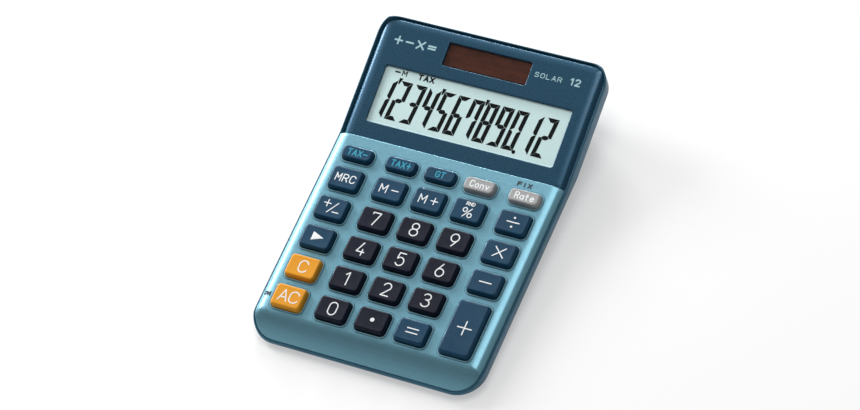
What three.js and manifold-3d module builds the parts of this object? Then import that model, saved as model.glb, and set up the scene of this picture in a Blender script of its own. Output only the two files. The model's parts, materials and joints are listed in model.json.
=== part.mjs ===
// Twelve-digit desk calculator, in millimetres, +Z up, +Y from the user towards the display.
// The keypad slopes gently up from the front edge to a junction line, and the display part carries
// on from there at a steeper angle. The origin is the bottom centre of the whole object's box.
import * as THREE from "three";
import { mergeVertices } from "three/addons/utils/BufferGeometryUtils.js";
import Module from "manifold-3d";

const wasm = await Module();
wasm.setup();

// ---- Driving dimensions -------------------------------------------------------------------------

// Case
const SIDE_MARGIN = 8.4; // from the outer keys' openings to the skirt
const FRONT_MARGIN = 1.25; // from the last row's openings to the apron
const REAR_MARGIN = 7; // from the junction line to the top row's openings
const BACK_MARGIN = 7.7; // from the solar window to the back edge
const KEYPAD_SLOPE = 4; // degrees above the table
const DISPLAY_TILT = 10.9; // degrees more than the keypad
const SKIRT_DEPTH = 7.6; // from the keypad's surface down to the lower edge of the upper case
const SKIRT_EXTRA = 1.8; // more depth than that along the display
const FRONT_CLEARANCE = 2.8; // under the skirt at the front edge
const CORNER_FRONT = 14.5;
const CORNER_BACK = 10.5;
const WALL = 2; // upper case side wall
const DECK = 1.2; // upper case plate under the panels
const CAVITY_CORNER_LOSS = 1.5; // the cavity's corner radius is this much under the outer one

// Panels that lie on the deck
const PANEL = 1; // thickness
const SEAM = 1.2; // width of the rim outside the panels
const SEAM_CORNER_FRONT = 13.3;
const SEAM_CORNER_BACK = 9.3;
const DISPLAY_SINK = 1.9; // of the display panel below the keypad and the rim
const ROLL = 7.5; // width of the rolled long edges, out to the skirt
const ROLL_DROP = 3; // their whole drop
const APRON = 13.6; // length of the front apron, where the panel falls away
const APRON_DROP = 6;

// Gaps
const GAP = 0.3; // between pieces that touch
const SLIP = 0.25; // each side, between a key and its opening in the panel

// Keys
const OPENING = { w: 17.2, h: 12.9, r: 2.6 };
const TOP_ROW = { h: 8.2, r: 2.8 };
const FULL_ROWS = 5;
const ROW_GAP = 4.15; // between the openings of two full rows
const TOP_GAP = 4.05; // between those of the top row and the first full one
const COLUMN_GAP = 4.5; // between the three middle columns
const OUTER_GAP = 7.1; // between those and the outer ones
const KEY_RISE = 3.4; // key top above the panel
const KEY_TRAVEL = 1.5;
const KEY_DRAFT = 0.35; // each side, from the panel to the shoulder
const KEY_SHOULDER = 0.6; // height and width of the rounded top edge
const FLANGE_LIP = 0.5; // flange beyond the deck opening
const FLANGE = 0.7; // thickness
const DECK_SLACK = 0.2; // the deck opening is this much wider than the panel's, each side
const PLUNGER = { w: 6, h: 5, r: 1.5, length: 0.7 };

// Key mat and circuit board
const DOME = { top: 2.6, bottom: 4.2, height: 1.8, wall: 0.5, sides: 6 };
const MAT = 0.5; // sheet thickness
const MAT_MARGIN = 6.5; // sheet beyond the key centres, front and back
const MAT_REACH = 7; // sheet beyond the outer key centres
const MAT_CORNER = 2;
const BOARD = 1.2; // thickness
const BOARD_INSET = 1; // board's sides inside the mat's
const BOARD_BACK = 0.5; // rear edge past the junction line
const BOARD_CORNER = 1.5;

// Display part, in the display's own plane: v runs from the junction line to the back edge
const LCD_OPENING = { side: 11.5, front: 9.4, h: 30.4, r: 1 }; // side: from the skirt
const SOLAR_OPENING = { w: 46, gap: 6.4, h: 12.3, r: 0.8 }; // gap: behind the other opening
const WINDOW = 0.8; // thickness
const WINDOW_SINK = 0.15; // window face below the panel face
// Side and margin: beyond the window, at its ends, and at its front and back. Contacts: the lower glass
// beyond the upper one.
const LCD = { side: 2.5, margin: 1.9, thickness: 2.2, r: 0.4, contacts: 1.5 };
const BACKING = { overhang: 2, thickness: 1, ears: 6, hollowX: 20, hollowMargin: 10 };
const CELL = { thickness: 1.1, inset: 0.2 };
const CELL_TRAY = { wall: 1.5, floor: 0.9 };
const RIBBON = { w: 70, thickness: 0.25, land: 3, rise: 0.35, hook: 0.6, below: 0.4 };

// Lower case
const FOOT = { r: 5, drop: 1.4, recess: 0.7, sides: 16, chamfer: 0.5 };
const FLOOR = 1.5;
const TRAY_WALL = 1.8;
const TRAY_INSET = 1.2; // tray outside inside the skirt's
const TRAY_TAPER = 0.6; // how far the tray's side runs in for each millimetre it falls
const TRAY_FOOT_INSET = 1; // extra inset of the underside all round
const BACK_TAPER = 0.4;
const LIP = { thickness: 1.2, height: 1.8 };
const POST = { r: 1.8, x: 31, under: [0.5, 2.5] }; // under the board, counted in rows of keys

// Screws and feet, at x = half width less inset
const SCREW = { headR: 2.1, head: 1.3, shankR: 1.1, bite: 2.2, sides: 8 };
const HEAD_FACE = 0.85; // flat face of a head, as a share of its radius
const HEAD_SIDE = 0.6; // straight side of a head, as a share of its height
const FRONT_SCREW = { inset: 11, from: 10.4 }; // from the front edge
const MIDDLE_SCREW = { inset: 13, from: 3.2 }; // in front of the display glass
const REAR_SCREW = { inset: 23, from: 4.3 }; // behind the display glass
const BOSS = { r: 3.4, pillarR: 2.8, web: 1.5, fall: 2 }; // fall: of the joint below the skirt edge
const FRONT_FOOT = { inset: 14, from: 18.9 }; // from the front edge
const REAR_FOOT = { inset: 27, from: 31 }; // from the back edge

// Battery bay, in the floor under the display
const BAY = { x: 14, y: 22, w: 20, d: 17, r: 1, wall: 1.5, height: 6.6 };
const BUTTON_CELL = { r: 5.8, height: 5.4, sides: 16, rim: 0.5, cap: 4.76 };
// Leg: hooked over the bay's wall. Foot and touch: heights of the bent end beside the cell. Reach: from the
// wall to the bend over the cell, which lies flat between two places and then lifts towards its tip.
const CONTACT = { w: 5, thickness: 0.3, leg: 4, foot: 1, touch: 3, reach: 2 };
const CONTACT_OVER = { start: 1.5, end: -2.5, tip: -4, lift: 0.8 };
const COVER_TAB = { w: 8, d: 7 };
const COVER_SCREW = { headR: 1.7, head: 0.8, shankR: 0.8, bite: 2.4, roof: 1.2, sides: 12 };

// Parts on the underside of the board
const CHIP = { size: 13, land: 0.3, r: 5.5, crownR: 4.1, height: 1.1, y: -50, sides: 12 };
const CAPACITOR = { r: 2.5, height: 4.6, x: 22, y: -12, sides: 12, dishR: 1.75, dish: 0.2 };
const LEAD = { r: 0.5, x: 5, drop: 3.2, steps: 15 };
// A lead's way: its fall from the deck, where it bends, how far it starts under the backing and from its
// front, its sag in between, and how far it spreads sideways at each of these places.
const LEAD_RUN = { fall: 4.5, bend: 6, under: 8, front: 4, sag: 0.8, spread: [0, 1, 2, 4, 3, 1] };
const LEAD_END = { along: 4, drop: 2 };

// ---- Values that follow ---------------------------------------------------------------------------

const RAD = Math.PI / 180;
const innerColumn = OPENING.w + COLUMN_GAP;
const outerColumn = innerColumn + OPENING.w + OUTER_GAP;
const COLUMNS = [-outerColumn, -innerColumn, 0, innerColumn, outerColumn];
const ROW_PITCH = OPENING.h + ROW_GAP;
const topRowY = -REAR_MARGIN - TOP_ROW.h / 2;
const firstRowY = topRowY - TOP_ROW.h / 2 - TOP_GAP - OPENING.h / 2;
const rowY = (row) => (row === 0 ? topRowY : firstRowY - ROW_PITCH * (row - 1));
const HALF = outerColumn + OPENING.w / 2 + SIDE_MARGIN;
const WIDTH = 2 * HALF;
// From the junction line to the front edge and to the back edge, along the keypad and the display.
const KEYPAD_LENGTH = OPENING.h / 2 - rowY(FULL_ROWS) + FRONT_MARGIN + APRON;
const LCD_WINDOW = {
  w: WIDTH - 2 * LCD_OPENING.side,
  v0: LCD_OPENING.front,
  v1: LCD_OPENING.front + LCD_OPENING.h,
  r: LCD_OPENING.r,
};
const solarFront = LCD_WINDOW.v1 + SOLAR_OPENING.gap;
const SOLAR_WINDOW = {
  w: SOLAR_OPENING.w,
  v0: solarFront,
  v1: solarFront + SOLAR_OPENING.h,
  r: SOLAR_OPENING.r,
};
const DISPLAY_LENGTH = SOLAR_WINDOW.v1 + BACK_MARGIN;
const SLOPE = KEYPAD_SLOPE * RAD;
const STEEP = (KEYPAD_SLOPE + DISPLAY_TILT) * RAD;
const JUNCTION = FRONT_CLEARANCE + SKIRT_DEPTH * Math.cos(SLOPE) + KEYPAD_LENGTH * Math.sin(SLOPE);
const FRONT = -KEYPAD_LENGTH * Math.cos(SLOPE);
const BACK = DISPLAY_LENGTH * Math.cos(STEEP);
const DEPTH_BELOW = 60; // cutting solids reach this far below a surface
const CLEAR = 20; // and stick out this far past what they cut
const UNDERLAP = 5; // of the display's plane under the keypad's
const BITE = 0.1; // how far joined solids run into one another
const ROUND_SIDES = 8; // of small rods and holes
const CASE_STEPS = 4; // facets of the case's corners
const TRAY_STEPS = 5;
const CORNER_STEPS = 2;

const deckTop = -PANEL - GAP;
const deckBottom = deckTop - DECK;
const flangeTop = deckBottom - GAP;
const flangeBottom = flangeTop - FLANGE;
const plungerEnd = flangeBottom - PLUNGER.length;
const domeTop = plungerEnd - GAP;
const matTop = domeTop - DOME.height;
const boardTop = matTop - MAT - GAP;
const boardBottom = boardTop - BOARD;
const floorTop = FOOT.drop + FLOOR;
const lcdFront = LCD_WINDOW.v0 - LCD.margin;
const lcdBack = LCD_WINDOW.v1 + LCD.margin;
const lcdWidth = LCD_WINDOW.w + 2 * LCD.side;
const lcdTop = deckTop;
const lcdBottom = lcdTop - LCD.thickness;
const backingTop = lcdBottom - GAP;
const backingBottom = backingTop - BACKING.thickness;

const MAT_SIDE = outerColumn + MAT_REACH;
const BOARD_SIDE = MAT_SIDE - BOARD_INSET;
const matFront = rowY(FULL_ROWS) - MAT_MARGIN;
const matBack = rowY(0) + MAT_MARGIN;

const frameOf = (angle) =>
  new THREE.Matrix4().makeTranslation(0, 0, JUNCTION).multiply(new THREE.Matrix4().makeRotationX(angle));
const KEYPAD = frameOf(SLOPE);
const DISPLAY = frameOf(STEEP);
// The display panel's own plane, sunk below the rim.
const SUNK = DISPLAY.clone().multiply(new THREE.Matrix4().makeTranslation(0, 0, -DISPLAY_SINK));

// ---- Materials ------------------------------------------------------------------------------------

const material = (color, roughness, metalness = 0) =>
  new THREE.MeshStandardMaterial({ color, roughness, metalness });
const CASE_BLUE = material(0x2d5f78, 0.45);
const PANEL_TEAL = material(0x7da9b8, 0.35, 0.6);
const PANEL_NAVY = material(0x24486a, 0.25, 0.5);
const KEY_BLUE = material(0x1e4b69, 0.4);
const KEY_DARK = material(0x1e2332, 0.4);
const KEY_ORANGE = material(0xe19b23, 0.4);
const KEY_GREY = material(0xa5a5a5, 0.4);
const CLEAR_WINDOW = material(0xd0e8e8, 0.05);
const SOLAR_BROWN = material(0x4b281c, 0.3);
const LCD_GREY = material(0xb9c6bd, 0.3);
const WHITE_PLASTIC = material(0xe6e6e2, 0.5);
const AMBER_FILM = material(0xb87a2c, 0.4);
const BOARD_GREEN = material(0x2b6a3f, 0.5);
const BLACK = material(0x151515, 0.6);
const SILICONE = material(0xc9ccd0, 0.8);
const STEEL = material(0xc8c8c8, 0.3, 1);
const RUBBER = material(0x222222, 0.9);
const WIRE_RED = material(0xa02020, 0.5);
const WIRE_BLACK = material(0x202020, 0.5);

// ---- Geometry helpers -----------------------------------------------------------------------------

// A closed geometry as a solid that can be cut and joined.
function solid(geometry, matrix) {
  const bare = geometry.index ? geometry.toNonIndexed() : geometry;
  const points = new THREE.BufferGeometry().setAttribute("position", bare.getAttribute("position"));
  if (matrix) points.applyMatrix4(matrix);
  const merged = mergeVertices(points, 1e-4);
  return new wasm.Manifold(
    new wasm.Mesh({
      numProp: 3,
      vertProperties: merged.attributes.position.array,
      triVerts: new Uint32Array(merged.index.array),
    }),
  );
}

function geometryOf(body) {
  const { vertProperties, numProp, numVert, triVerts } = body.getMesh();
  const points = new Float32Array(numVert * 3);
  for (let i = 0; i < numVert; i++) {
    points.set(vertProperties.subarray(i * numProp, i * numProp + 3), i * 3);
  }
  return new THREE.BufferGeometry()
    .setAttribute("position", new THREE.BufferAttribute(points, 3))
    .setIndex(new THREE.BufferAttribute(new Uint32Array(triVerts), 1));
}

// Outline points [a, b] pushed from low to high along the third axis.
function extrude(points, low, high) {
  const shape = new THREE.Shape(points.map(([a, b]) => new THREE.Vector2(a, b)));
  const made = new THREE.ExtrudeGeometry(shape, { depth: high - low, bevelEnabled: false });
  return made.translate(0, 0, low);
}

const X_AXIS = new THREE.Vector3(1, 0, 0);
const Y_AXIS = new THREE.Vector3(0, 1, 0);
const Z_AXIS = new THREE.Vector3(0, 0, 1);
const ALONG_X = new THREE.Matrix4().makeBasis(Y_AXIS, Z_AXIS, X_AXIS);
const ALONG_Y = new THREE.Matrix4().makeBasis(X_AXIS, Z_AXIS, Y_AXIS.clone().negate());

const prism = (points, low, high, matrix) => solid(extrude(points, low, high), matrix);
const acrossX = (points, half, matrix) =>
  solid(extrude(points, -half, half).applyMatrix4(ALONG_X), matrix);
const alongY = (points, low, high, matrix) =>
  solid(extrude(points, -high, -low).applyMatrix4(ALONG_Y), matrix);

function box(x0, x1, y0, y1, z0, z1, matrix) {
  const made = new THREE.BoxGeometry(x1 - x0, y1 - y0, z1 - z0);
  return solid(made.translate((x0 + x1) / 2, (y0 + y1) / 2, (z0 + z1) / 2), matrix);
}

// A disc or rod from z0 to z1, with its radius at each end.
function rod(x, y, z0, z1, r0, sides, r1 = r0, matrix = undefined) {
  const made = new THREE.CylinderGeometry(r1, r0, z1 - z0, sides).rotateX(Math.PI / 2);
  return solid(made.translate(x, y, (z0 + z1) / 2), matrix);
}

// Points of a quarter round corner, turning anticlockwise from the start angle.
function corner(cx, cy, r, start, steps) {
  return Array.from({ length: steps + 1 }, (_, i) => {
    const a = (start + (90 * i) / steps) * RAD;
    return [cx + r * Math.cos(a), cy + r * Math.sin(a)];
  });
}

function roundedRect(cx, cy, w, h, r, steps) {
  const x = w / 2 - r;
  const y = h / 2 - r;
  return [
    ...corner(cx + x, cy + y, r, 0, steps),
    ...corner(cx - x, cy + y, r, 90, steps),
    ...corner(cx - x, cy - y, r, 180, steps),
    ...corner(cx + x, cy - y, r, 270, steps),
  ];
}

// The case's outline seen from above, pulled in by inset, with its own corner radii.
function outline(inset, front, back, steps = CASE_STEPS) {
  const x = HALF - inset;
  return [
    ...corner(x - back, BACK - inset - back, back, 0, steps),
    ...corner(-x + back, BACK - inset - back, back, 90, steps),
    ...corner(-x + front, FRONT + inset + front, front, 180, steps),
    ...corner(x - front, FRONT + inset + front, front, 270, steps),
  ];
}
const column = (inset, front, back) => prism(outline(inset, front, back), -CLEAR, DEPTH_BELOW);

// A body between rings of the same number of points, the lowest first, with flat ends.
function loft(rings) {
  const n = rings[0].length;
  const faces = [];
  for (let k = 0; k + 1 < rings.length; k++) {
    for (let i = 0; i < n; i++) {
      const j = (i + 1) % n;
      faces.push(rings[k][i], rings[k][j], rings[k + 1][j]);
      faces.push(rings[k][i], rings[k + 1][j], rings[k + 1][i]);
    }
  }
  const last = rings[rings.length - 1];
  for (let i = 1; i + 1 < n; i++) {
    faces.push(rings[0][0], rings[0][i + 1], rings[0][i]);
    faces.push(last[0], last[i], last[i + 1]);
  }
  return new THREE.BufferGeometry().setAttribute(
    "position",
    new THREE.Float32BufferAttribute(faces.flat(), 3),
  );
}

// A bent strip: its centre line in the plane of two axes, and its width along the third.
function stripOutline(path, thickness) {
  const side = (sign) =>
    path.map(([a, b], i) => {
      const [pa, pb] = path[Math.max(i - 1, 0)];
      const [na, nb] = path[Math.min(i + 1, path.length - 1)];
      const length = Math.hypot(na - pa, nb - pb);
      const out = (sign * thickness) / length / 2;
      return [a - out * (nb - pb), b + out * (na - pa)];
    });
  return [...side(-1), ...side(1).reverse()];
}

// ---- The crowned surface of the case --------------------------------------------------------------

// Half of the rolled long edge, as [x, z] from the flat out to the skirt.
const rollPoints = [
  [HALF - ROLL, 0],
  [HALF - ROLL * 0.6, -ROLL_DROP * 0.12],
  [HALF - ROLL * 0.27, -ROLL_DROP * 0.5],
  [HALF + GAP, -ROLL_DROP],
];
// The apron, as [y, z] in the keypad's plane, from the flat to the front edge.
const apronPoints = [
  [0, 0],
  [0.12, -0.08],
  [0.34, -0.47],
  [0.55, -0.72],
  [0.88, -0.93],
  [1.1, -1.02],
].map(([share, drop]) => [-(KEYPAD_LENGTH - APRON) - share * APRON, drop * APRON_DROP]);
// The back edge, as [v, z] in the display's plane.
const backPoints = [
  [DISPLAY_LENGTH - ROLL * 0.8, 0],
  [DISPLAY_LENGTH - ROLL * 0.45, -ROLL_DROP * 0.2],
  [DISPLAY_LENGTH - ROLL * 0.2, -ROLL_DROP * 0.65],
  [DISPLAY_LENGTH + CLEAR, -ROLL_DROP * 0.65 - CLEAR],
];

const rollSection = (sink) => [
  ...rollPoints.map(([x, z]) => [x, z - sink]),
  [HALF + GAP, -DEPTH_BELOW],
  [-HALF - GAP, -DEPTH_BELOW],
  ...rollPoints.map(([x, z]) => [-x, z - sink]).reverse(),
];

// Everything below the case's upper surface, once that surface is sunk by an offset. The display side
// may be sunk by some more, and the keypad side then ends in a step.
function crown(sink, more = 0, keypadEnd = CLEAR) {
  const low = sink + more;
  const keypadSide = [
    ...apronPoints.map(([y, z]) => [y, z - sink]),
    [apronPoints.at(-1)[0], -DEPTH_BELOW],
    [keypadEnd, -DEPTH_BELOW],
    [keypadEnd, -sink],
  ];
  const displaySide = [
    [-UNDERLAP, -low],
    [-UNDERLAP, -DEPTH_BELOW],
    [backPoints.at(-1)[0], -DEPTH_BELOW],
    ...backPoints.map(([v, z]) => [v, z - low]).reverse(),
  ];
  const keypad = acrossX(keypadSide, WIDTH, KEYPAD).intersect(
    alongY(rollSection(sink), -KEYPAD_LENGTH - 2 * CLEAR, CLEAR, KEYPAD),
  );
  const display = acrossX(displaySide, WIDTH, DISPLAY).intersect(
    alongY(rollSection(low), -UNDERLAP, DISPLAY_LENGTH + 2 * CLEAR, DISPLAY),
  );
  return keypad.add(display);
}
// The surface that the panels and the deck follow, whose keypad side ends at a step.
const steppedCrown = (sink, keypadEnd = 0) => crown(sink, DISPLAY_SINK, keypadEnd);

// Everything below the skirt's lower edge, lowered further by drop. The skirt is deeper along the display.
function belowSkirt(drop) {
  const low = SKIRT_DEPTH + drop;
  const keypad = [
    [-KEYPAD_LENGTH - CLEAR, -low],
    [-KEYPAD_LENGTH - CLEAR, -DEPTH_BELOW],
    [2 * CLEAR, -DEPTH_BELOW],
    [2 * CLEAR, -low],
  ];
  const display = [
    [-UNDERLAP, -low - SKIRT_EXTRA],
    [-UNDERLAP, -DEPTH_BELOW],
    [DISPLAY_LENGTH + CLEAR, -DEPTH_BELOW],
    [DISPLAY_LENGTH + CLEAR, -low - SKIRT_EXTRA],
  ];
  return acrossX(keypad, WIDTH, KEYPAD).add(acrossX(display, WIDTH, DISPLAY));
}

// Height above the table, at y behind the junction line, of surfaces sunk into each plane.
const keypadHeight = (y, sink) => JUNCTION + y * Math.tan(SLOPE) - sink / Math.cos(SLOPE);
const displayHeight = (y, sink) => JUNCTION + y * Math.tan(STEEP) - sink / Math.cos(STEEP);
const deckHeight = (y, sink) => (y < 0 ? keypadHeight(y, sink) : displayHeight(y, sink + DISPLAY_SINK));
const skirtHeight = (y, drop) =>
  Math.max(keypadHeight(y, SKIRT_DEPTH + drop), displayHeight(y, SKIRT_DEPTH + SKIRT_EXTRA + drop));
// Where the skirt's lower edge bends up.
const skirtBend =
  (displayHeight(0, SKIRT_DEPTH + SKIRT_EXTRA) - keypadHeight(0, SKIRT_DEPTH)) /
  (Math.tan(SLOPE) - Math.tan(STEEP));

// ---- Keys -----------------------------------------------------------------------------------------

const KEY_NAMES = [
  ["tax_minus", "tax_plus", "grand_total", "convert", "rate"],
  ["memory_recall", "memory_minus", "memory_plus", "percent", "divide"],
  ["sign", "7", "8", "9", "multiply"],
  ["backspace", "4", "5", "6", "minus"],
  ["clear", "1", "2", "3", "plus"],
  ["all_clear", "0", "decimal", "equals"],
];
const DARK_KEYS = ["0", "1", "2", "3", "4", "5", "6", "7", "8", "9", "decimal"];
const KEY_MATERIALS = {
  clear: KEY_ORANGE,
  all_clear: KEY_ORANGE,
  convert: KEY_GREY,
  rate: KEY_GREY,
  ...Object.fromEntries(DARK_KEYS.map((name) => [name, KEY_DARK])),
};

// The plus key spans the last two rows.
function keyPlace(row, col) {
  const tall = row === 4 && col === 4;
  const size = row === 0 ? TOP_ROW : OPENING;
  return {
    name: "key_" + KEY_NAMES[row][col],
    material: KEY_MATERIALS[KEY_NAMES[row][col]] ?? KEY_BLUE,
    x: COLUMNS[col],
    y: rowY(row) - (tall ? ROW_PITCH / 2 : 0),
    w: OPENING.w,
    h: size.h + (tall ? ROW_PITCH : 0),
    r: size.r,
  };
}
const keys = KEY_NAMES.flatMap((names, row) => names.map((_, col) => keyPlace(row, col)));

const keyPrism = (key, grow, low, high) =>
  prism(
    roundedRect(key.x, key.y, key.w + 2 * grow, key.h + 2 * grow, key.r + grow, CORNER_STEPS),
    low,
    high,
    KEYPAD,
  );

// Plunger, flange, drafted cap and rounded shoulder as one lofted body.
function keyGeometry(key) {
  const ring = (w, h, r, z) =>
    roundedRect(key.x, key.y, w, h, r, CORNER_STEPS).map(([x, y]) => [x, y, z]);
  const grown = (by, z) => ring(key.w + 2 * by, key.h + 2 * by, Math.max(key.r + by, 0.8), z);
  const flange = DECK_SLACK + FLANGE_LIP;
  const shoulder = -SLIP - KEY_DRAFT;
  return loft([
    ring(PLUNGER.w, PLUNGER.h, PLUNGER.r, plungerEnd),
    ring(PLUNGER.w, PLUNGER.h, PLUNGER.r, flangeBottom),
    grown(flange, flangeBottom),
    grown(flange, flangeTop),
    grown(-SLIP, flangeTop),
    grown(shoulder, KEY_RISE - KEY_SHOULDER),
    grown(shoulder - KEY_SHOULDER, KEY_RISE),
  ]);
}

// ---- Screws and their bosses ----------------------------------------------------------------------

// Height where a lower tower meets an upper pillar.
const bossJoint = (y) => Math.max(floorTop + BOSS.web + GAP, skirtHeight(y, 0) - BOSS.fall);
const SCREW_PLACES = {
  front: { inset: FRONT_SCREW.inset, y: FRONT + FRONT_SCREW.from },
  middle: { inset: MIDDLE_SCREW.inset, y: lcdFront - MIDDLE_SCREW.from },
  rear: { inset: REAR_SCREW.inset, y: lcdBack + REAR_SCREW.from },
};
const FEET_PLACES = {
  front: { inset: FRONT_FOOT.inset, y: FRONT + FRONT_FOOT.from },
  rear: { inset: REAR_FOOT.inset, y: BACK - REAR_FOOT.from },
};
const screwPlaces = Object.entries(SCREW_PLACES).flatMap(([name, { inset, y }]) =>
  [
    ["left", -1],
    ["right", 1],
  ].map(([side, sign]) => ({
    name: `case_screw_${name}_${side}`,
    x: sign * (HALF - inset),
    y,
    joint: bossJoint(y),
  })),
);
const feetPlaces = Object.entries(FEET_PLACES).flatMap(([name, { inset, y }]) =>
  [
    ["left", -1],
    ["right", 1],
  ].map(([side, sign]) => ({ name: `foot_${name}_${side}`, x: sign * (HALF - inset), y })),
);
const seatOf = (place) => place.joint - GAP - BOSS.web; // where the screw head bears

function screwGeometry({ x, y, seat, tip, headR, head, shankR, sides }) {
  const points = [
    [0, seat - GAP - head],
    [headR * HEAD_FACE, seat - GAP - head],
    [headR, seat - GAP - head * HEAD_SIDE],
    [headR, seat - GAP],
    [shankR, seat - GAP],
    [shankR, tip - shankR],
    [0, tip],
  ].map(([r, z]) => new THREE.Vector2(r, z));
  const turned = new THREE.LatheGeometry(points, sides).rotateX(Math.PI / 2);
  // The rotation sends the profile's height to +Z.
  return turned.translate(x, y, 0);
}

// ---- Case -----------------------------------------------------------------------------------------

const seamColumn = (grow) =>
  column(SEAM - grow, SEAM_CORNER_FRONT + grow, SEAM_CORNER_BACK + grow);
const windowPrism = (window, grow, low, high) =>
  prism(
    roundedRect(
      0,
      (window.v0 + window.v1) / 2,
      window.w + 2 * grow,
      window.v1 - window.v0 + 2 * grow,
      Math.max(window.r + grow, 0.3),
      CORNER_STEPS,
    ),
    low,
    high,
    SUNK,
  );

function upperCase() {
  let body = column(0, CORNER_FRONT, CORNER_BACK).intersect(crown(0)).subtract(belowSkirt(0));
  body = body.subtract(seamColumn(GAP).subtract(steppedCrown(PANEL + GAP)));
  const cavity = column(WALL, CORNER_FRONT - CAVITY_CORNER_LOSS, CORNER_BACK - CAVITY_CORNER_LOSS);
  body = body.subtract(cavity.intersect(steppedCrown(PANEL + GAP + DECK, -DECK)));
  // A shallow tray under the deck holds the solar cell.
  const trayBottom = deckTop - CELL.thickness - GAP - CELL_TRAY.floor;
  body = body.add(windowPrism(SOLAR_WINDOW, CELL_TRAY.wall, trayBottom, deckBottom + DECK / 2));
  body = body.subtract(windowPrism(SOLAR_WINDOW, GAP, trayBottom + CELL_TRAY.floor, CLEAR));
  for (const sign of [-1, 1]) {
    const v = (SOLAR_WINDOW.v0 + SOLAR_WINDOW.v1) / 2;
    body = body.subtract(rod(sign * LEAD.x, v, -CLEAR, 0, LEAD.r + GAP, ROUND_SIDES, LEAD.r + GAP, SUNK));
  }
  const lcdRoom = sheet(lcdWidth + 2 * GAP, lcdFront - GAP, lcdBack + GAP, -CLEAR, CLEAR, LCD.r + GAP);
  body = body.subtract(lcdRoom);
  for (const key of keys) body = body.subtract(keyPrism(key, DECK_SLACK, -CLEAR, CLEAR));
  for (const place of screwPlaces) {
    const top = deckHeight(place.y, PANEL + GAP + DECK / 2);
    const pillar = rod(place.x, place.y, place.joint, top, BOSS.pillarR, SCREW.sides);
    const hole = rod(place.x, place.y, place.joint - 1, place.joint + SCREW.bite + GAP,
      SCREW.shankR + GAP, SCREW.sides);
    body = body.add(pillar.intersect(steppedCrown(PANEL + GAP + DECK / 2))).subtract(hole);
  }
  return body;
}

function keypadPanel() {
  let body = seamColumn(0).intersect(crown(0)).subtract(crown(PANEL));
  const beyond = box(-WIDTH, WIDTH, -GAP / 2, DISPLAY_LENGTH * 2, -DEPTH_BELOW, DEPTH_BELOW, KEYPAD);
  body = body.subtract(beyond);
  for (const key of keys) body = body.subtract(keyPrism(key, 0, -CLEAR, CLEAR));
  return body;
}

function displayPanel() {
  const body = seamColumn(0).intersect(steppedCrown(0)).subtract(steppedCrown(PANEL));
  return body
    .subtract(box(-WIDTH, WIDTH, -KEYPAD_LENGTH * 2, GAP / 2, -DEPTH_BELOW, DEPTH_BELOW, DISPLAY))
    .subtract(windowPrism(LCD_WINDOW, 0, -CLEAR, CLEAR))
    .subtract(windowPrism(SOLAR_WINDOW, 0, -CLEAR, CLEAR));
}

// Half of a tray outline on the +X side, from the front edge to the back edge.
function trayHalf(inset, taper, backTaper, height) {
  const at = (y) => {
    const fall = taper ? skirtHeight(y, 0) - FOOT.drop : 0;
    return HALF - inset - taper * fall - (taper ? TRAY_FOOT_INSET : 0);
  };
  const backFall = skirtHeight(BACK, 0) - FOOT.drop;
  const back = BACK - inset - (taper ? backTaper * backFall + TRAY_FOOT_INSET : 0);
  const front = FRONT + inset + (taper ? TRAY_FOOT_INSET : 0);
  const rf = CORNER_FRONT - inset;
  const rb = CORNER_BACK - inset;
  return [
    ...corner(at(FRONT) - rf, front + rf, rf, 270, TRAY_STEPS),
    [at(skirtBend), skirtBend],
    ...corner(at(BACK) - rb, back - rb, rb, 0, TRAY_STEPS),
  ].map(([x, y]) => [x, y, height(y)]);
}

// A closed body between an upper and a lower half outline, both mirrored to -X.
function trayBody(top, bottom) {
  const mirror = ([x, y, z]) => [-x, y, z];
  const faces = [];
  const quad = (a, b, c, d) => faces.push(a, b, c, a, c, d);
  for (let i = 0; i + 1 < top.length; i++) {
    const [t, u, b, c] = [top[i], top[i + 1], bottom[i], bottom[i + 1]];
    quad(b, c, u, t);
    quad(mirror(c), mirror(b), mirror(t), mirror(u));
    quad(t, u, mirror(u), mirror(t));
    quad(mirror(b), mirror(c), c, b);
  }
  const [t, b, u, c] = [top[0], bottom[0], top.at(-1), bottom.at(-1)];
  quad(mirror(b), b, t, mirror(t));
  quad(c, mirror(c), mirror(u), u);
  const made = new THREE.BufferGeometry();
  return solid(made.setAttribute("position", new THREE.Float32BufferAttribute(faces.flat(), 3)));
}

// Everything above the floor's upper face and above the joint with the skirt.
function lipRoom(inset) {
  const room = prism(outline(inset, CORNER_FRONT - inset, CORNER_BACK - inset), floorTop, DEPTH_BELOW);
  return room.subtract(belowSkirt(GAP));
}

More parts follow.
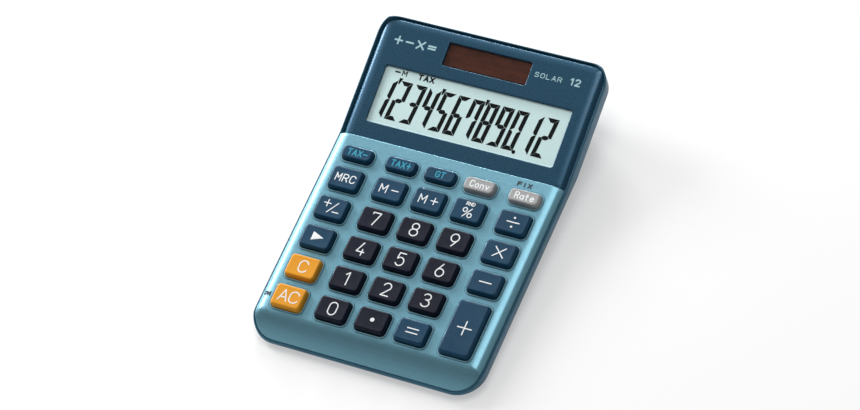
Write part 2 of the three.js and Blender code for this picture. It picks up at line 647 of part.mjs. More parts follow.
function lowerCase() {
  const topEdge = (y) => skirtHeight(y, GAP);
  const outer = trayBody(
    trayHalf(TRAY_INSET, 0, 0, topEdge),
    trayHalf(TRAY_INSET, TRAY_TAPER, BACK_TAPER, () => FOOT.drop),
  );
  const inner = trayBody(
    trayHalf(TRAY_INSET + TRAY_WALL, 0, 0, (y) => Math.max(topEdge(y) + 1, floorTop + BITE)),
    trayHalf(TRAY_INSET + TRAY_WALL, TRAY_TAPER, BACK_TAPER, () => floorTop),
  );
  const underDeck = steppedCrown(PANEL + GAP + DECK + GAP, -DECK - GAP);
  // The lip stands up inside the skirt.
  const lipInset = WALL + GAP;
  const lip = column(lipInset, CORNER_FRONT - lipInset, CORNER_BACK - lipInset)
    .intersect(belowSkirt(-LIP.height))
    .intersect(underDeck)
    .subtract(belowSkirt(GAP + BITE));
  let body = outer.add(lip).subtract(inner).subtract(lipRoom(lipInset + LIP.thickness));
  for (const place of screwPlaces) {
    const top = place.joint - GAP;
    const tower = rod(place.x, place.y, FOOT.drop + FLOOR / 2, top, BOSS.r, SCREW.sides);
    body = body
      .add(tower.intersect(underDeck))
      .subtract(rod(place.x, place.y, -1, seatOf(place), SCREW.headR + GAP, SCREW.sides))
      .subtract(rod(place.x, place.y, -1, top + 1, SCREW.shankR + GAP, SCREW.sides));
  }
  for (const foot of feetPlaces) {
    body = body.subtract(rod(foot.x, foot.y, -1, FOOT.drop + FOOT.recess, FOOT.r + GAP, FOOT.sides));
  }
  for (const rows of POST.under) {
    const y = firstRowY - rows * ROW_PITCH;
    const top = keypadHeight(y - POST.r, GAP - boardBottom);
    for (const x of [-POST.x, POST.x]) {
      body = body.add(rod(x, y, FOOT.drop + FLOOR / 2, top, POST.r, ROUND_SIDES));
    }
  }
  return cutBay(body);
}

const bayRect = (grow) =>
  roundedRect(BAY.x, BAY.y, BAY.w + 2 * grow, BAY.d + 2 * grow, BAY.r + grow, CORNER_STEPS);
const tabY = BAY.y - BAY.d / 2 - BAY.wall - COVER_TAB.d / 2;
const tabRect = (grow) => {
  const d = COVER_TAB.d + BAY.wall + BAY.r;
  const y = BAY.y - BAY.d / 2 + BAY.r - d / 2;
  return roundedRect(BAY.x, y, COVER_TAB.w + 2 * grow, d + 2 * grow, BAY.r + grow, CORNER_STEPS);
};

// The battery bay's walls, its opening in the floor and the pocket for the cover's screw tab.
function cutBay(body) {
  const { bite, roof, shankR } = COVER_SCREW;
  const half = FOOT.drop + FLOOR / 2;
  return body
    .add(prism(bayRect(BAY.wall), half, floorTop + BAY.height))
    .add(prism(tabRect(BAY.wall), half, floorTop + bite + roof))
    .subtract(prism(bayRect(0), -CLEAR, DEPTH_BELOW))
    .subtract(prism(tabRect(GAP), -CLEAR, floorTop))
    .subtract(rod(BAY.x, tabY, 0, floorTop + bite + GAP, shankR + GAP, ROUND_SIDES));
}

function batteryCover() {
  const { head, headR, shankR, sides } = COVER_SCREW;
  const slab = (rect) => prism(rect, FOOT.drop, floorTop - GAP);
  return slab(bayRect(-GAP))
    .add(slab(tabRect(0)))
    .subtract(rod(BAY.x, tabY, 0, FOOT.drop + head, headR + GAP, sides))
    .subtract(rod(BAY.x, tabY, 0, floorTop, shankR + GAP, sides));
}

// ---- Electronics ----------------------------------------------------------------------------------

function keyMat() {
  const { top, bottom, height, wall, sides } = DOME;
  const sheetRect = roundedRect(
    0, (matFront + matBack) / 2, 2 * MAT_SIDE, matBack - matFront, MAT_CORNER, CORNER_STEPS);
  let body = prism(sheetRect, matTop - MAT, matTop, KEYPAD);
  for (const { x, y } of keys) {
    body = body.add(rod(x, y, matTop - MAT / 2, matTop + height, bottom, sides, top, KEYPAD));
  }
  const [low, high] = [matTop - MAT - CLEAR, matTop + height - 2 * wall];
  // The hollow's sides run on down past the sheet.
  const flare = ((bottom - top) * (high - low)) / (height + MAT / 2);
  for (const { x, y } of keys) {
    body = body.subtract(rod(x, y, low, high, top - wall + flare, sides, top - wall, KEYPAD));
  }
  return body;
}

function circuitBoard() {
  const length = BOARD_BACK - matFront;
  const rect = roundedRect(
    0, matFront + length / 2, 2 * BOARD_SIDE, length, BOARD_CORNER, CORNER_STEPS);
  return prism(rect, boardBottom, boardTop, KEYPAD);
}

// The chip sits under a poured dome on a square land.
function processorChip() {
  const { size, r, crownR, height, y, sides } = CHIP;
  const top = boardBottom - GAP;
  const land = box(-size / 2, size / 2, y - size / 2, y + size / 2, top - CHIP.land, top, KEYPAD);
  return land.add(rod(0, y, top - height, top - BITE, crownR, sides, r, KEYPAD));
}

function capacitor() {
  const { r, height, x, y, sides, dishR, dish } = CAPACITOR;
  const top = boardBottom - GAP;
  const can = rod(x, y, top - height, top, r, sides, r, KEYPAD);
  return can.subtract(rod(x, y, top - 2 * height, top - height + dish, dishR, sides, dishR, KEYPAD));
}

const sheet = (w, v0, v1, z0, z1, r) =>
  prism(roundedRect(0, (v0 + v1) / 2, w, v1 - v0, r, CORNER_STEPS), z0, z1, SUNK);

// Two glasses, the lower one longer at the front to carry the contacts.
function lcdModule() {
  const middle = (lcdTop + lcdBottom) / 2;
  return sheet(lcdWidth, lcdFront, lcdBack, lcdBottom, middle, LCD.r)
    .add(sheet(lcdWidth, lcdFront + LCD.contacts, lcdBack, middle - BITE, lcdTop, LCD.r));
}

function lcdBacking() {
  const { overhang, thickness, ears, hollowX, hollowMargin } = BACKING;
  const side = lcdWidth / 2 + GAP;
  let body = sheet(2 * (side + overhang), lcdFront, lcdBack, backingBottom, backingTop, 1);
  for (const [left, right] of [
    [-side - overhang, -side],
    [side, side + overhang],
  ]) {
    body = body.add(box(left, right, lcdFront + ears, lcdBack - ears, backingBottom, deckBottom - GAP, SUNK));
  }
  const hollow = [-hollowX, hollowX, lcdFront + hollowMargin, lcdBack - hollowMargin];
  return body.subtract(box(...hollow, backingBottom - CLEAR, backingBottom + thickness / 2, SUNK));
}

// The film that joins the display's front edge to the rear edge of the board.
function lcdRibbon() {
  const lift = boardTop + GAP + RIBBON.thickness / 2;
  const tilt = DISPLAY_TILT * RAD;
  const v = lcdFront - GAP;
  const z = (lcdTop + lcdBottom) / 2 - RIBBON.below - DISPLAY_SINK;
  const end = [v * Math.cos(tilt) - z * Math.sin(tilt), v * Math.sin(tilt) + z * Math.cos(tilt)];
  const path = [
    [BOARD_BACK - RIBBON.land, lift],
    [BOARD_BACK + BOARD_BACK, lift],
    [BOARD_BACK + RIBBON.land, lift + (end[1] - lift) * RIBBON.rise],
    [end[0] - RIBBON.hook, end[1] - RIBBON.hook],
    end,
  ];
  return acrossX(stripOutline(path, RIBBON.thickness), RIBBON.w / 2, KEYPAD);
}

function solarCell() {
  const { thickness, inset } = CELL;
  return windowPrism(SOLAR_WINDOW, -inset, deckTop - thickness, deckTop - GAP / 3);
}

const pane = (window) => windowPrism(window, -GAP, -WINDOW_SINK - WINDOW, -WINDOW_SINK);

// A lead from the solar cell, under the display and its backing, to the board's rear edge.
function solarLead(sign) {
  const at = (x, v, z) => new THREE.Vector3(sign * x, v, z).applyMatrix4(SUNK);
  const onBoard = (x, y, z) => new THREE.Vector3(sign * x, y, z).applyMatrix4(KEYPAD);
  const v = (SOLAR_WINDOW.v0 + SOLAR_WINDOW.v1) / 2;
  const low = backingBottom - LEAD.drop;
  const xs = LEAD_RUN.spread.map((out) => LEAD.x + out);
  const route = new THREE.CatmullRomCurve3([
    at(LEAD.x, v, deckTop - CELL.thickness - GAP),
    at(xs[0], v - LEAD.r, deckTop - LEAD_RUN.fall),
    at(xs[1], v - LEAD_RUN.bend, low + 2 * LEAD.r),
    at(xs[2], lcdBack - LEAD_RUN.under, low),
    at(xs[3], (lcdFront + lcdBack) / 2, low - LEAD_RUN.sag),
    at(xs[4], lcdFront + LEAD_RUN.front, low),
    onBoard(xs[5], BOARD_BACK + LEAD_END.along, boardBottom - LEAD_END.drop),
    onBoard(LEAD.x, BOARD_BACK - LEAD_END.drop, boardBottom - LEAD.r - GAP),
  ]);
  const ring = corner(0, 0, LEAD.r, 0, CORNER_STEPS).concat(corner(0, 0, LEAD.r, 180, CORNER_STEPS));
  const shape = new THREE.Shape(ring.map(([a, b]) => new THREE.Vector2(a, b)));
  return solid(new THREE.ExtrudeGeometry(shape, { steps: LEAD.steps, extrudePath: route }));
}

function buttonCell() {
  const { r, height, sides, rim, cap } = BUTTON_CELL;
  const shoulder = floorTop + height - rim;
  return rod(BAY.x, BAY.y, floorTop, shoulder, r, sides)
    .add(rod(BAY.x, BAY.y, shoulder - BITE, shoulder + rim, cap, sides));
}

// Spring contacts hooked over the bay's two side walls.
const contact = (path) =>
  alongY(stripOutline(path, CONTACT.thickness), BAY.y - CONTACT.w / 2, BAY.y + CONTACT.w / 2);
const bayLeft = BAY.x - BAY.w / 2;
const bayRight = BAY.x + BAY.w / 2;
const hook = floorTop + BAY.height + 2 * CONTACT.thickness;
const hang = CONTACT.thickness / 2 + GAP;

function positiveContact() {
  const outside = bayLeft - BAY.wall - hang;
  const inside = bayLeft + hang;
  return contact([
    [outside, hook - CONTACT.leg],
    [outside, hook],
    [inside, hook],
    [inside, floorTop + CONTACT.foot],
    [BAY.x - BUTTON_CELL.r - GAP - CONTACT.thickness, floorTop + CONTACT.touch],
  ]);
}

function negativeContact() {
  const outside = bayRight + BAY.wall + hang;
  const over = floorTop + BUTTON_CELL.height + GAP + CONTACT.thickness / 2;
  return contact([
    [outside, hook - CONTACT.leg],
    [outside, hook],
    [bayRight - CONTACT.reach, hook],
    [BAY.x + CONTACT_OVER.start, over],
    [BAY.x + CONTACT_OVER.end, over],
    [BAY.x + CONTACT_OVER.tip, over + CONTACT_OVER.lift],
  ]);
}

function foot(place) {
  const { r, drop, recess, sides, chamfer } = FOOT;
  return rod(place.x, place.y, 0, chamfer, r - chamfer, sides, r)
    .add(rod(place.x, place.y, chamfer, drop + recess - GAP, r, sides));
}

// ---- Assembly -------------------------------------------------------------------------------------

const calculator = new THREE.Group();
calculator.name = "calculator";

function addPart(name, shape, look, parent = calculator) {
  const geometry = shape.isBufferGeometry ? shape : geometryOf(shape);
  const mesh = new THREE.Mesh(geometry, look);
  mesh.name = name;
  parent.add(mesh);
}

addPart("upper_case", upperCase(), CASE_BLUE);
addPart("lower_case", lowerCase(), CASE_BLUE);
addPart("keypad_panel", keypadPanel(), PANEL_TEAL);
addPart("display_panel", displayPanel(), PANEL_NAVY);
addPart("display_window", pane(LCD_WINDOW), CLEAR_WINDOW);
addPart("solar_window", pane(SOLAR_WINDOW), CLEAR_WINDOW);
addPart("solar_cell", solarCell(), SOLAR_BROWN);
addPart("lcd_module", lcdModule(), LCD_GREY);
addPart("lcd_backing", lcdBacking(), WHITE_PLASTIC);
addPart("lcd_ribbon", lcdRibbon(), AMBER_FILM);
addPart("circuit_board", circuitBoard(), BOARD_GREEN);
addPart("processor_chip", processorChip(), BLACK);
addPart("smoothing_capacitor", capacitor(), BLACK);
addPart("key_mat", keyMat(), SILICONE);
addPart("solar_lead_positive", solarLead(1), WIRE_RED);
addPart("solar_lead_negative", solarLead(-1), WIRE_BLACK);
addPart("battery_cell", buttonCell(), STEEL);
addPart("battery_contact_positive", positiveContact(), STEEL);
addPart("battery_contact_negative", negativeContact(), STEEL);
addPart("battery_cover", batteryCover(), CASE_BLUE);
addPart(
  "battery_cover_screw",
  screwGeometry({
    x: BAY.x,
    y: tabY,
    seat: FOOT.drop + COVER_SCREW.head + GAP,
    tip: floorTop + COVER_SCREW.bite,
    ...COVER_SCREW,
  }),
  STEEL,
);
for (const at of screwPlaces) {
  const tip = at.joint + SCREW.bite;
  addPart(at.name, screwGeometry({ x: at.x, y: at.y, seat: seatOf(at), tip, ...SCREW }), STEEL);
}
for (const at of feetPlaces) addPart(at.name, foot(at), RUBBER);

const keypadGroup = new THREE.Group();
keypadGroup.applyMatrix4(KEYPAD);
calculator.add(keypadGroup);
for (const key of keys) addPart(key.name, keyGeometry(key), key.material, keypadGroup);

// The origin is the bottom centre of the whole object's box.
const bounds = new THREE.Box3().setFromObject(calculator);
calculator.position.set(
  -(bounds.min.x + bounds.max.x) / 2,
  -(bounds.min.y + bounds.max.y) / 2,
  -bounds.min.z,
);

export default calculator;
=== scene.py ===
"""A twelve-digit desk calculator: two-part crowned case, brushed keypad plate, dark display plate,
sprung keys with printed legends, liquid crystal display and solar cell, built round its frame."""

import json
import math

import bmesh
import bpy
from mathutils import Matrix, Vector
from mathutils.geometry import delaunay_2d_cdt


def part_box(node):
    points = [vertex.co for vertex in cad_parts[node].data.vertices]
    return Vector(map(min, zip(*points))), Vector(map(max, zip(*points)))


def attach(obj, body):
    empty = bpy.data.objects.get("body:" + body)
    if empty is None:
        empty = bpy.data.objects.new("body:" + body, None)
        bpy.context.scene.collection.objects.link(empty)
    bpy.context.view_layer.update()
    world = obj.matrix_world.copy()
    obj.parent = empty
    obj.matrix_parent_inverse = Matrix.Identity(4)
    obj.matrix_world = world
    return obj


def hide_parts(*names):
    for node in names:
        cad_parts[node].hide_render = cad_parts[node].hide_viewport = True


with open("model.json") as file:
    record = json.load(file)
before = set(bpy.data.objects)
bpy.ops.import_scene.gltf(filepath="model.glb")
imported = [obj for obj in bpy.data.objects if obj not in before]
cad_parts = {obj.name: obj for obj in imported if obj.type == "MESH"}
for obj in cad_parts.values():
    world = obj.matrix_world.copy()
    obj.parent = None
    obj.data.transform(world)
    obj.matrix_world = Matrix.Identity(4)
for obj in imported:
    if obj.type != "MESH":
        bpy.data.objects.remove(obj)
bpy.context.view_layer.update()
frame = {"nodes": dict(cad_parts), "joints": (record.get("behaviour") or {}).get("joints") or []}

# ---- Sizes, in millimetres ------------------------------------------------------------------------

MM = 0.001
GAP = 0.3                 # between pieces that touch
PANEL = 1.0               # thickness of the two plates
DECK = 1.2                # shelf of the upper case under the plates
SEAM = 1.2                # rim of the case round the plates
WALL = 2.0                # side wall of the upper case
CORNER_FRONT = 14.5
CORNER_BACK = 10.5
DISPLAY_SINK = 1.9        # of the display plate below the rim and the keypad
ROLL = 7.5                # width of the rolled long edges
ROLL_DROP = 3.0
APRON = 13.6              # length of the falling front edge
APRON_DROP = 6.0
SKIRT = 7.6               # depth of the skirt along the keypad
SKIRT_EXTRA = 1.8         # more depth than that along the display
KEY_RISE = 3.4
KEY_SLIP = 0.25           # between a key and its opening, each side
KEY_DISH = 0.12           # hollow of a key's top

# ---- The frame's own places -----------------------------------------------------------------------

joint_axis = Vector(frame["joints"][0]["axis"])
SLOPE = math.atan2(joint_axis.y, -joint_axis.z)
TILT = math.radians(10.9)
STEEP = SLOPE + TILT
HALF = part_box("upper_case")[1].x / MM
JUNCTION_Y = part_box("display_panel")[0].y / MM - GAP / 2 * math.cos(STEEP) - DISPLAY_SINK * math.sin(STEEP)
JUNCTION_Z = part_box("keypad_panel")[1].z / MM + GAP / 2 * math.sin(SLOPE)
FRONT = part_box("upper_case")[0].y / MM - JUNCTION_Y
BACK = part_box("upper_case")[1].y / MM - JUNCTION_Y
KEYPAD_LENGTH = -FRONT / math.cos(SLOPE)
DISPLAY_LENGTH = BACK / math.cos(STEEP)


def in_plane(angle):
    """Turns (x, along, up) in a sloping plane through the junction line into a point of the frame."""
    turn = Matrix.Rotation(angle, 3, "X")
    start = Vector((0, JUNCTION_Y, JUNCTION_Z))
    return lambda x, along, up=0.0: (turn @ Vector((x, along, up)) + start) * MM


keypad_point = in_plane(SLOPE)
display_point = in_plane(STEEP)


def level_point(x, y, z):
    """A point measured level: y behind the junction line, z above the table."""
    return Vector((x, y + JUNCTION_Y, z)) * MM


# ---- Curves and outlines --------------------------------------------------------------------------

PAST_END = 1.3  # how far past its last point a curve is still followed, as a share of its last step


def smooth_through(points):
    """A monotone cubic through the points, flat before the first."""
    steps = [(b[1] - a[1]) / (b[0] - a[0]) for a, b in zip(points, points[1:])]
    slopes = [0.0]
    for left, right in zip(steps, steps[1:]):
        slopes.append(2 * left * right / (left + right) if left * right > 0 else 0.0)
    slopes.append(steps[-1])

    def value(t):
        if t <= points[0][0]:
            return points[0][1]
        for k in range(len(steps)):
            (t0, v0), (t1, v1) = points[k], points[k + 1]
            if t <= t1 or k == len(steps) - 1:
                h = t1 - t0
                u = min((t - t0) / h, PAST_END)
                a = (1 + 2 * u) * (1 - u) ** 2
                b = u * u * (3 - 2 * u)
                leaving = u * (1 - u) ** 2 * h * slopes[k]
                return a * v0 + leaving + b * v1 + u * u * (u - 1) * h * slopes[k + 1]
        return points[-1][1]

    return value


roll_share = smooth_through([(0, 0), (0.4, 0.12), (0.73, 0.5), (1.04, 1.0)])
apron_share = smooth_through([(0, 0), (0.12, 0.08), (0.34, 0.47), (0.55, 0.72), (0.88, 0.93), (1.1, 1.02)])
back_share = smooth_through([(0, 0), (0.44, 0.2), (0.75, 0.65), (1.0, 1.35)])
BACK_ROLL = 0.8 * ROLL
BLEND = 3.0  # how squarely two falling edges meet at a corner


def join_drops(a, b):
    return (a ** BLEND + b ** BLEND) ** (1 / BLEND)


def side_drop(x):
    return ROLL_DROP * max(roll_share((abs(x) - HALF + ROLL) / ROLL), 0)


def keypad_drop(x, along):
    apron = APRON_DROP * max(apron_share((-along - KEYPAD_LENGTH + APRON) / APRON), 0)
    return join_drops(side_drop(x), apron)


def display_drop(x, along):
    back = ROLL_DROP * max(back_share((along - DISPLAY_LENGTH + BACK_ROLL) / BACK_ROLL), 0)
    return join_drops(side_drop(x), back)


def height_over(angle, drop, x, y, sink):
    """Height above the table of a crowned plane, sunk by some depth, at a level place."""
    up = -sink
    for _ in range(3):
        along = (y + up * math.sin(angle)) / math.cos(angle)
        up = -drop(x, along) - sink
    return JUNCTION_Z + along * math.sin(angle) + up * math.cos(angle)


def keypad_height(x, y, sink=0.0):
    return height_over(SLOPE, keypad_drop, x, y, sink)


def display_height(x, y, sink=0.0):
    return height_over(STEEP, display_drop, x, y, sink)


def soft_max(a, b, reach):
    return (a + b + math.sqrt((a - b) ** 2 + reach * reach)) / 2


CREASE = 0.25  # softness of the bend where keypad and display meet


def crown_height(x, y, sink=0.0):
    return soft_max(keypad_height(x, y, sink), display_height(x, y, sink), CREASE)


def skirt_height(y, lift=0.0):
    keypad = JUNCTION_Z + y * math.tan(SLOPE) - SKIRT / math.cos(SLOPE)
    display = JUNCTION_Z + y * math.tan(STEEP) - (SKIRT + SKIRT_EXTRA) / math.cos(STEEP)
    return soft_max(keypad, display, CREASE) + lift


def arc(cx, cy, rx, ry, start, end, steps):
    """Points of an elliptical arc, angles in degrees."""
    turns = [math.radians(start + (end - start) * i / steps) for i in range(steps + 1)]
    return [(cx + rx * math.cos(a), cy + ry * math.sin(a)) for a in turns]


def between(a, b, count):
    """Points strictly between two, evenly spread."""
    return [tuple(p + (q - p) * i / (count + 1) for p, q in zip(a, b)) for i in range(1, count + 1)]


def rounded(cx, cy, w, h, r, steps=6, fill=0):
    """A rounded rectangle, anticlockwise from its right side, with extra points along its sides."""
    x, y = w / 2 - r, h / 2 - r
    corners = [(x, y, 0), (-x, y, 90), (-x, -y, 180), (x, -y, 270)]
    loop = []
    for i, (px, py, start) in enumerate(corners):
        loop += arc(cx + px, cy + py, r, r, start, start + 90, steps)
        nx, ny, turn = corners[(i + 1) % 4]
        nxt = arc(cx + nx, cy + ny, r, r, turn, turn + 90, steps)[0]
        loop += between(loop[-1], nxt, fill)
    return loop


def case_outline(inset, arcs=14, sides=90, ends=24):
    """The case seen from above, pulled in by an inset, always with the same number of points."""
    x, top, low = HALF - inset, BACK - inset, FRONT + inset
    front, back = max(CORNER_FRONT - inset, 1), max(CORNER_BACK - inset, 1)
    stretches = [
        arc(x - back, top - back, back, back, 0, 90, arcs),
        arc(-x + back, top - back, back, back, 90, 180, arcs),
        arc(-x + front, low + front, front, front, 180, 270, arcs),
        arc(x - front, low + front, front, front, 270, 360, arcs),
    ]
    fills = [ends, sides, ends, sides]
    loop = []
    for i, stretch in enumerate(stretches):
        loop += stretch
        loop += between(stretch[-1], stretches[(i + 1) % 4][0], fills[i])
    return loop


def pulled_in(loop, inset):
    """A loop moved in by an inset, square to its own edges. The loop runs anticlockwise."""
    made = []
    for i, p in enumerate(loop):
        before, after = Vector(p) - Vector(loop[i - 1]), Vector(loop[(i + 1) % len(loop)]) - Vector(p)
        n1, n2 = Vector((-before.y, before.x)).normalized(), Vector((-after.y, after.x)).normalized()
        mean = (n1 + n2).normalized()
        made.append(tuple(Vector(p) + mean * inset / max(mean.dot(n1), 0.5)))
    return made


def loop_box(loop, margin=0.0):
    """The least and greatest x and y of a loop, with a margin."""
    xs, ys = [p[0] for p in loop], [p[1] for p in loop]
    return min(xs) - margin, max(xs) + margin, min(ys) - margin, max(ys) + margin


def inside(loop, x, y):
    hit = False
    for (x0, y0), (x1, y1) in zip(loop, loop[1:] + loop[:1]):
        if (y0 > y) != (y1 > y) and x < x0 + (y - y0) * (x1 - x0) / (y1 - y0):
            hit = not hit
    return hit


# ---- Meshes and objects ---------------------------------------------------------------------------

def mesh_object(name, points, faces, *materials, smooth=35):
    """A new object of welded points in metres, with outward faces and crisp edges past an angle."""
    mesh = bpy.data.meshes.new(name)
    mesh.from_pydata([tuple(p) for p in points], [], faces)
    shape = bmesh.new()
    shape.from_mesh(mesh)
    bmesh.ops.remove_doubles(shape, verts=shape.verts, dist=1e-7)
    bmesh.ops.recalc_face_normals(shape, faces=shape.faces)
    shape.to_mesh(mesh)
    shape.free()
    for material in materials:
        mesh.materials.append(material)
    return finished(name, mesh, smooth)


def finished(name, mesh, smooth=35):
    mesh.shade_smooth()
    mesh.set_sharp_from_angle(angle=math.radians(smooth))
    made = bpy.data.objects.new(name, mesh)
    bpy.context.scene.collection.objects.link(made)
    return made


def ring_faces(rings, count, closed_section=False):
    """Faces between rings of equal length, wound one way, with flat ends unless the section closes."""
    faces = []
    last = rings if closed_section else rings - 1
    for k in range(last):
        for i in range(count):
            j = (i + 1) % count
            a, b = k * count, ((k + 1) % rings) * count
            faces.append((a + i, a + j, b + j, b + i))
    if not closed_section:
        faces.append(tuple(reversed(range(count))))
        faces.append(tuple((rings - 1) * count + i for i in range(count)))
    return faces


def lofted(name, rings, *materials, closed_section=False, smooth=35):
    points = [p for ring in rings for p in ring]
    faces = ring_faces(len(rings), len(rings[0]), closed_section)
    return mesh_object(name, points, faces, *materials, smooth=smooth)


def plate(name, outline, holes, details, height, thickness, *materials):
    """A sheet that follows a height over its plan. Holes are lists of (loop, sink), the edge first."""
    rings = outline + [ring for hole in holes for ring in hole]
    bounds = [outline[0][0]] + [hole[0][0] for hole in holes]
    spots, loops, sinks = [], [], []
    for loop, sink in rings:
        loops.append(list(range(len(spots), len(spots) + len(loop))))
        spots += [Vector(p) for p in loop]
        sinks += [sink] * len(loop)
    for x, y in details:
        spots.append(Vector((x, y)))
        sinks.append(0.0)
    verts, _, tris, origins, _, _ = delaunay_2d_cdt(spots, [], loops, 0, 1e-5)
    depth = [max((sinks[i] for i in origin), default=0.0) for origin in origins]
    boxes = [loop_box(b) for b in bounds]
    kept = []
    for tri in tris:
        cx, cy = sum(verts[i].x for i in tri) / 3, sum(verts[i].y for i in tri) / 3
        if not inside(bounds[0], cx, cy):
            continue
        within = [b for b, (x0, x1, y0, y1) in zip(bounds[1:], boxes[1:]) if x0 < cx < x1 and y0 < cy < y1]
        if not any(inside(b, cx, cy) for b in within):
            kept.append(tuple(tri))
    used = sorted({i for tri in kept for i in tri})
    place = {old: new for new, old in enumerate(used)}
    n = len(used)
    top = [level_point(verts[i].x, verts[i].y, height(verts[i].x, verts[i].y) - depth[i]) for i in used]
    low = [level_point(verts[i].x, verts[i].y, height(verts[i].x, verts[i].y) - thickness) for i in used]
    faces = [tuple(place[i] for i in tri) for tri in kept]
    directed = {(a, b) for f in faces for a, b in zip(f, f[1:] + f[:1])}
    under = [tuple(n + i for i in reversed(f)) for f in faces]
    sides = [(b, a, n + a, n + b) for a, b in directed if (b, a) not in directed]
    return mesh_object(name, top + low, faces + under + sides, *materials)


# ---- Materials ------------------------------------------------------------------------------------

def srgb(r, g, b):
    """A colour given in the eight-bit values that a paint chart uses."""
    def linear(v):
        v /= 255
        return v / 12.92 if v <= 0.04045 else ((v + 0.055) / 1.055) ** 2.4
    return (linear(r), linear(g), linear(b), 1.0)


class Finish:
    """A material under construction: a principled surface and short ways to pattern it."""

    def __init__(self, name, colour, roughness, metallic=0.0, specular=0.5, coat=0.0, alpha=1.0):
        self.material = bpy.data.materials.new(name)
        self.material.use_nodes = True
        self.nodes = self.material.node_tree.nodes
        self.links = self.material.node_tree.links
        self.surface = self.nodes["Principled BSDF"]
        self.set("Base Color", colour)
        self.set("Roughness", roughness)
        self.set("Metallic", metallic)
        self.set("Specular IOR Level", specular)
        self.set("Coat Weight", coat)
        self.set("Coat Roughness", 0.15)
        self.set("Alpha", alpha)
        self.where = self.nodes.new("ShaderNodeTexCoord").outputs["Object"]

    def set(self, socket, value):
        self.surface.inputs[socket].default_value = value

    def noise(self, scale, detail=3.0, stretch=(1, 1, 1)):
        """Noise with features of about 1/scale metres, stretched along any axis."""
        mapping = self.nodes.new("ShaderNodeMapping")
        mapping.inputs["Scale"].default_value = stretch
        self.links.new(self.where, mapping.inputs["Vector"])
        texture = self.nodes.new("ShaderNodeTexNoise")
        texture.inputs["Scale"].default_value = scale
        texture.inputs["Detail"].default_value = detail
        self.links.new(mapping.outputs["Vector"], texture.inputs["Vector"])
        return texture.outputs["Fac"]

    def spread(self, value, low, high):
        """The value's middle range carried to a range of its own."""
        node = self.nodes.new("ShaderNodeMapRange")
        node.inputs["From Min"].default_value = 0.3
        node.inputs["From Max"].default_value = 0.7
        node.inputs["To Min"].default_value = low
        node.inputs["To Max"].default_value = high
        self.links.new(value, node.inputs["Value"])
        return node.outputs["Result"]

    def tint(self, value, dark, light):
        """Colour that runs from dark to light with the value."""
        node = self.nodes.new("ShaderNodeMix")
        node.data_type = "RGBA"
        self.links.new(self.spread(value, 0, 1), node.inputs["Factor"])
        node.inputs["A"].default_value = dark
        node.inputs["B"].default_value = light
        self.links.new(node.outputs["Result"], self.surface.inputs["Base Color"])
        return self

    def rough(self, value, low, high):
        self.links.new(self.spread(value, low, high), self.surface.inputs["Roughness"])
        return self

    def bump(self, value, strength, distance):
        node = self.nodes.new("ShaderNodeBump")
        node.inputs["Strength"].default_value = strength
        node.inputs["Distance"].default_value = distance
        self.links.new(value, node.inputs["Height"])
        self.links.new(node.outputs["Normal"], self.surface.inputs["Normal"])
        return self


def shade(colour, factor):
    return tuple(c * factor for c in colour[:3]) + (1.0,)


def moulded(name, colour, roughness=0.42, grain=2600, depth=0.00003, variation=0.12, **more):
    """Spark-grained moulded plastic: fine pits, and faint cloudiness in colour and gloss."""
    made = Finish(name, colour, roughness, **more)
    cloud = made.noise(60)
    made.tint(cloud, shade(colour, 1 - variation), shade(colour, 1 + variation))
    made.rough(made.noise(220), roughness - 0.05, roughness + 0.06)
    made.bump(made.noise(grain, 2), 0.25, depth)
    return made.material


def brushed_plate(name, colour, roughness, streak, variation, metallic, coat):
    """Lacquered metal foil with hairline brushing along the keyboard's width."""
    made = Finish(name, colour, roughness, metallic=metallic, coat=coat)
    hairs = made.noise(2800, 3, stretch=streak)
    made.tint(hairs, shade(colour, 1 - variation), shade(colour, 1 + variation))
    made.rough(hairs, roughness - 0.06, roughness + 0.08)
    made.bump(hairs, 0.12, 0.00002)
    return made.material


CASE_BLUE = moulded("case_blue_plastic", srgb(46, 98, 122), 0.36, specular=0.4)
TRAY_BLUE = moulded("tray_blue_plastic", srgb(36, 66, 88), 0.5)
TEAL = brushed_plate("brushed_teal_plate", srgb(112, 164, 182), 0.34, (0.2, 1, 1), 0.05, 0.6, 0.2)
NAVY = brushed_plate("satin_navy_plate", srgb(24, 74, 100), 0.3, (0.6, 1, 1), 0.04, 0.6, 0.4)
# The lips are the plate's teal made paler: a painted highlight along the edges of the key openings.
LIP_HIGHLIGHT_TEAL = moulded("teal_lip_painted_highlight", srgb(140, 186, 200), 0.28, variation=0.05, metallic=0.4)
KEY_BLUE = moulded("key_blue", srgb(3, 61, 90), 0.4, grain=3200, specular=0.25)
KEY_DARK = moulded("key_dark", srgb(6, 12, 35), 0.4, grain=3200, specular=0.2)
KEY_ORANGE = moulded("key_orange", srgb(232, 156, 28), 0.42, grain=3200, variation=0.05, specular=0.25)
KEY_GREY = moulded("key_grey", srgb(168, 168, 168), 0.42, grain=3200, variation=0.04, specular=0.25)
WHITE_PRINT = moulded("white_print", srgb(240, 244, 246), 0.5, variation=0.03)
CYAN_PRINT = moulded("cyan_print", srgb(0, 150, 180), 0.5, variation=0.05)
DARK_PRINT = moulded("dark_print", srgb(8, 34, 48), 0.5, variation=0.05)
PALE_PRINT = moulded("pale_cyan_print", srgb(168, 208, 216), 0.4, variation=0.04)
LCD_PALE = moulded("lcd_reflector", srgb(226, 255, 255), 0.35, grain=5000, depth=0.00001, variation=0.01)
LCD_INK = moulded("lcd_segment", srgb(3, 5, 8), 0.5, variation=0.05, specular=0.1)
SILICONE = moulded("silicone_mat", srgb(196, 200, 204), 0.7)
BOARD = moulded("green_board", srgb(40, 104, 62), 0.45)
RESIN = moulded("black_resin", srgb(20, 20, 22), 0.3)
WHITE_PLASTIC = moulded("white_plastic", srgb(228, 228, 224), 0.5, variation=0.03)
AMBER = moulded("amber_film", srgb(184, 122, 44), 0.3)
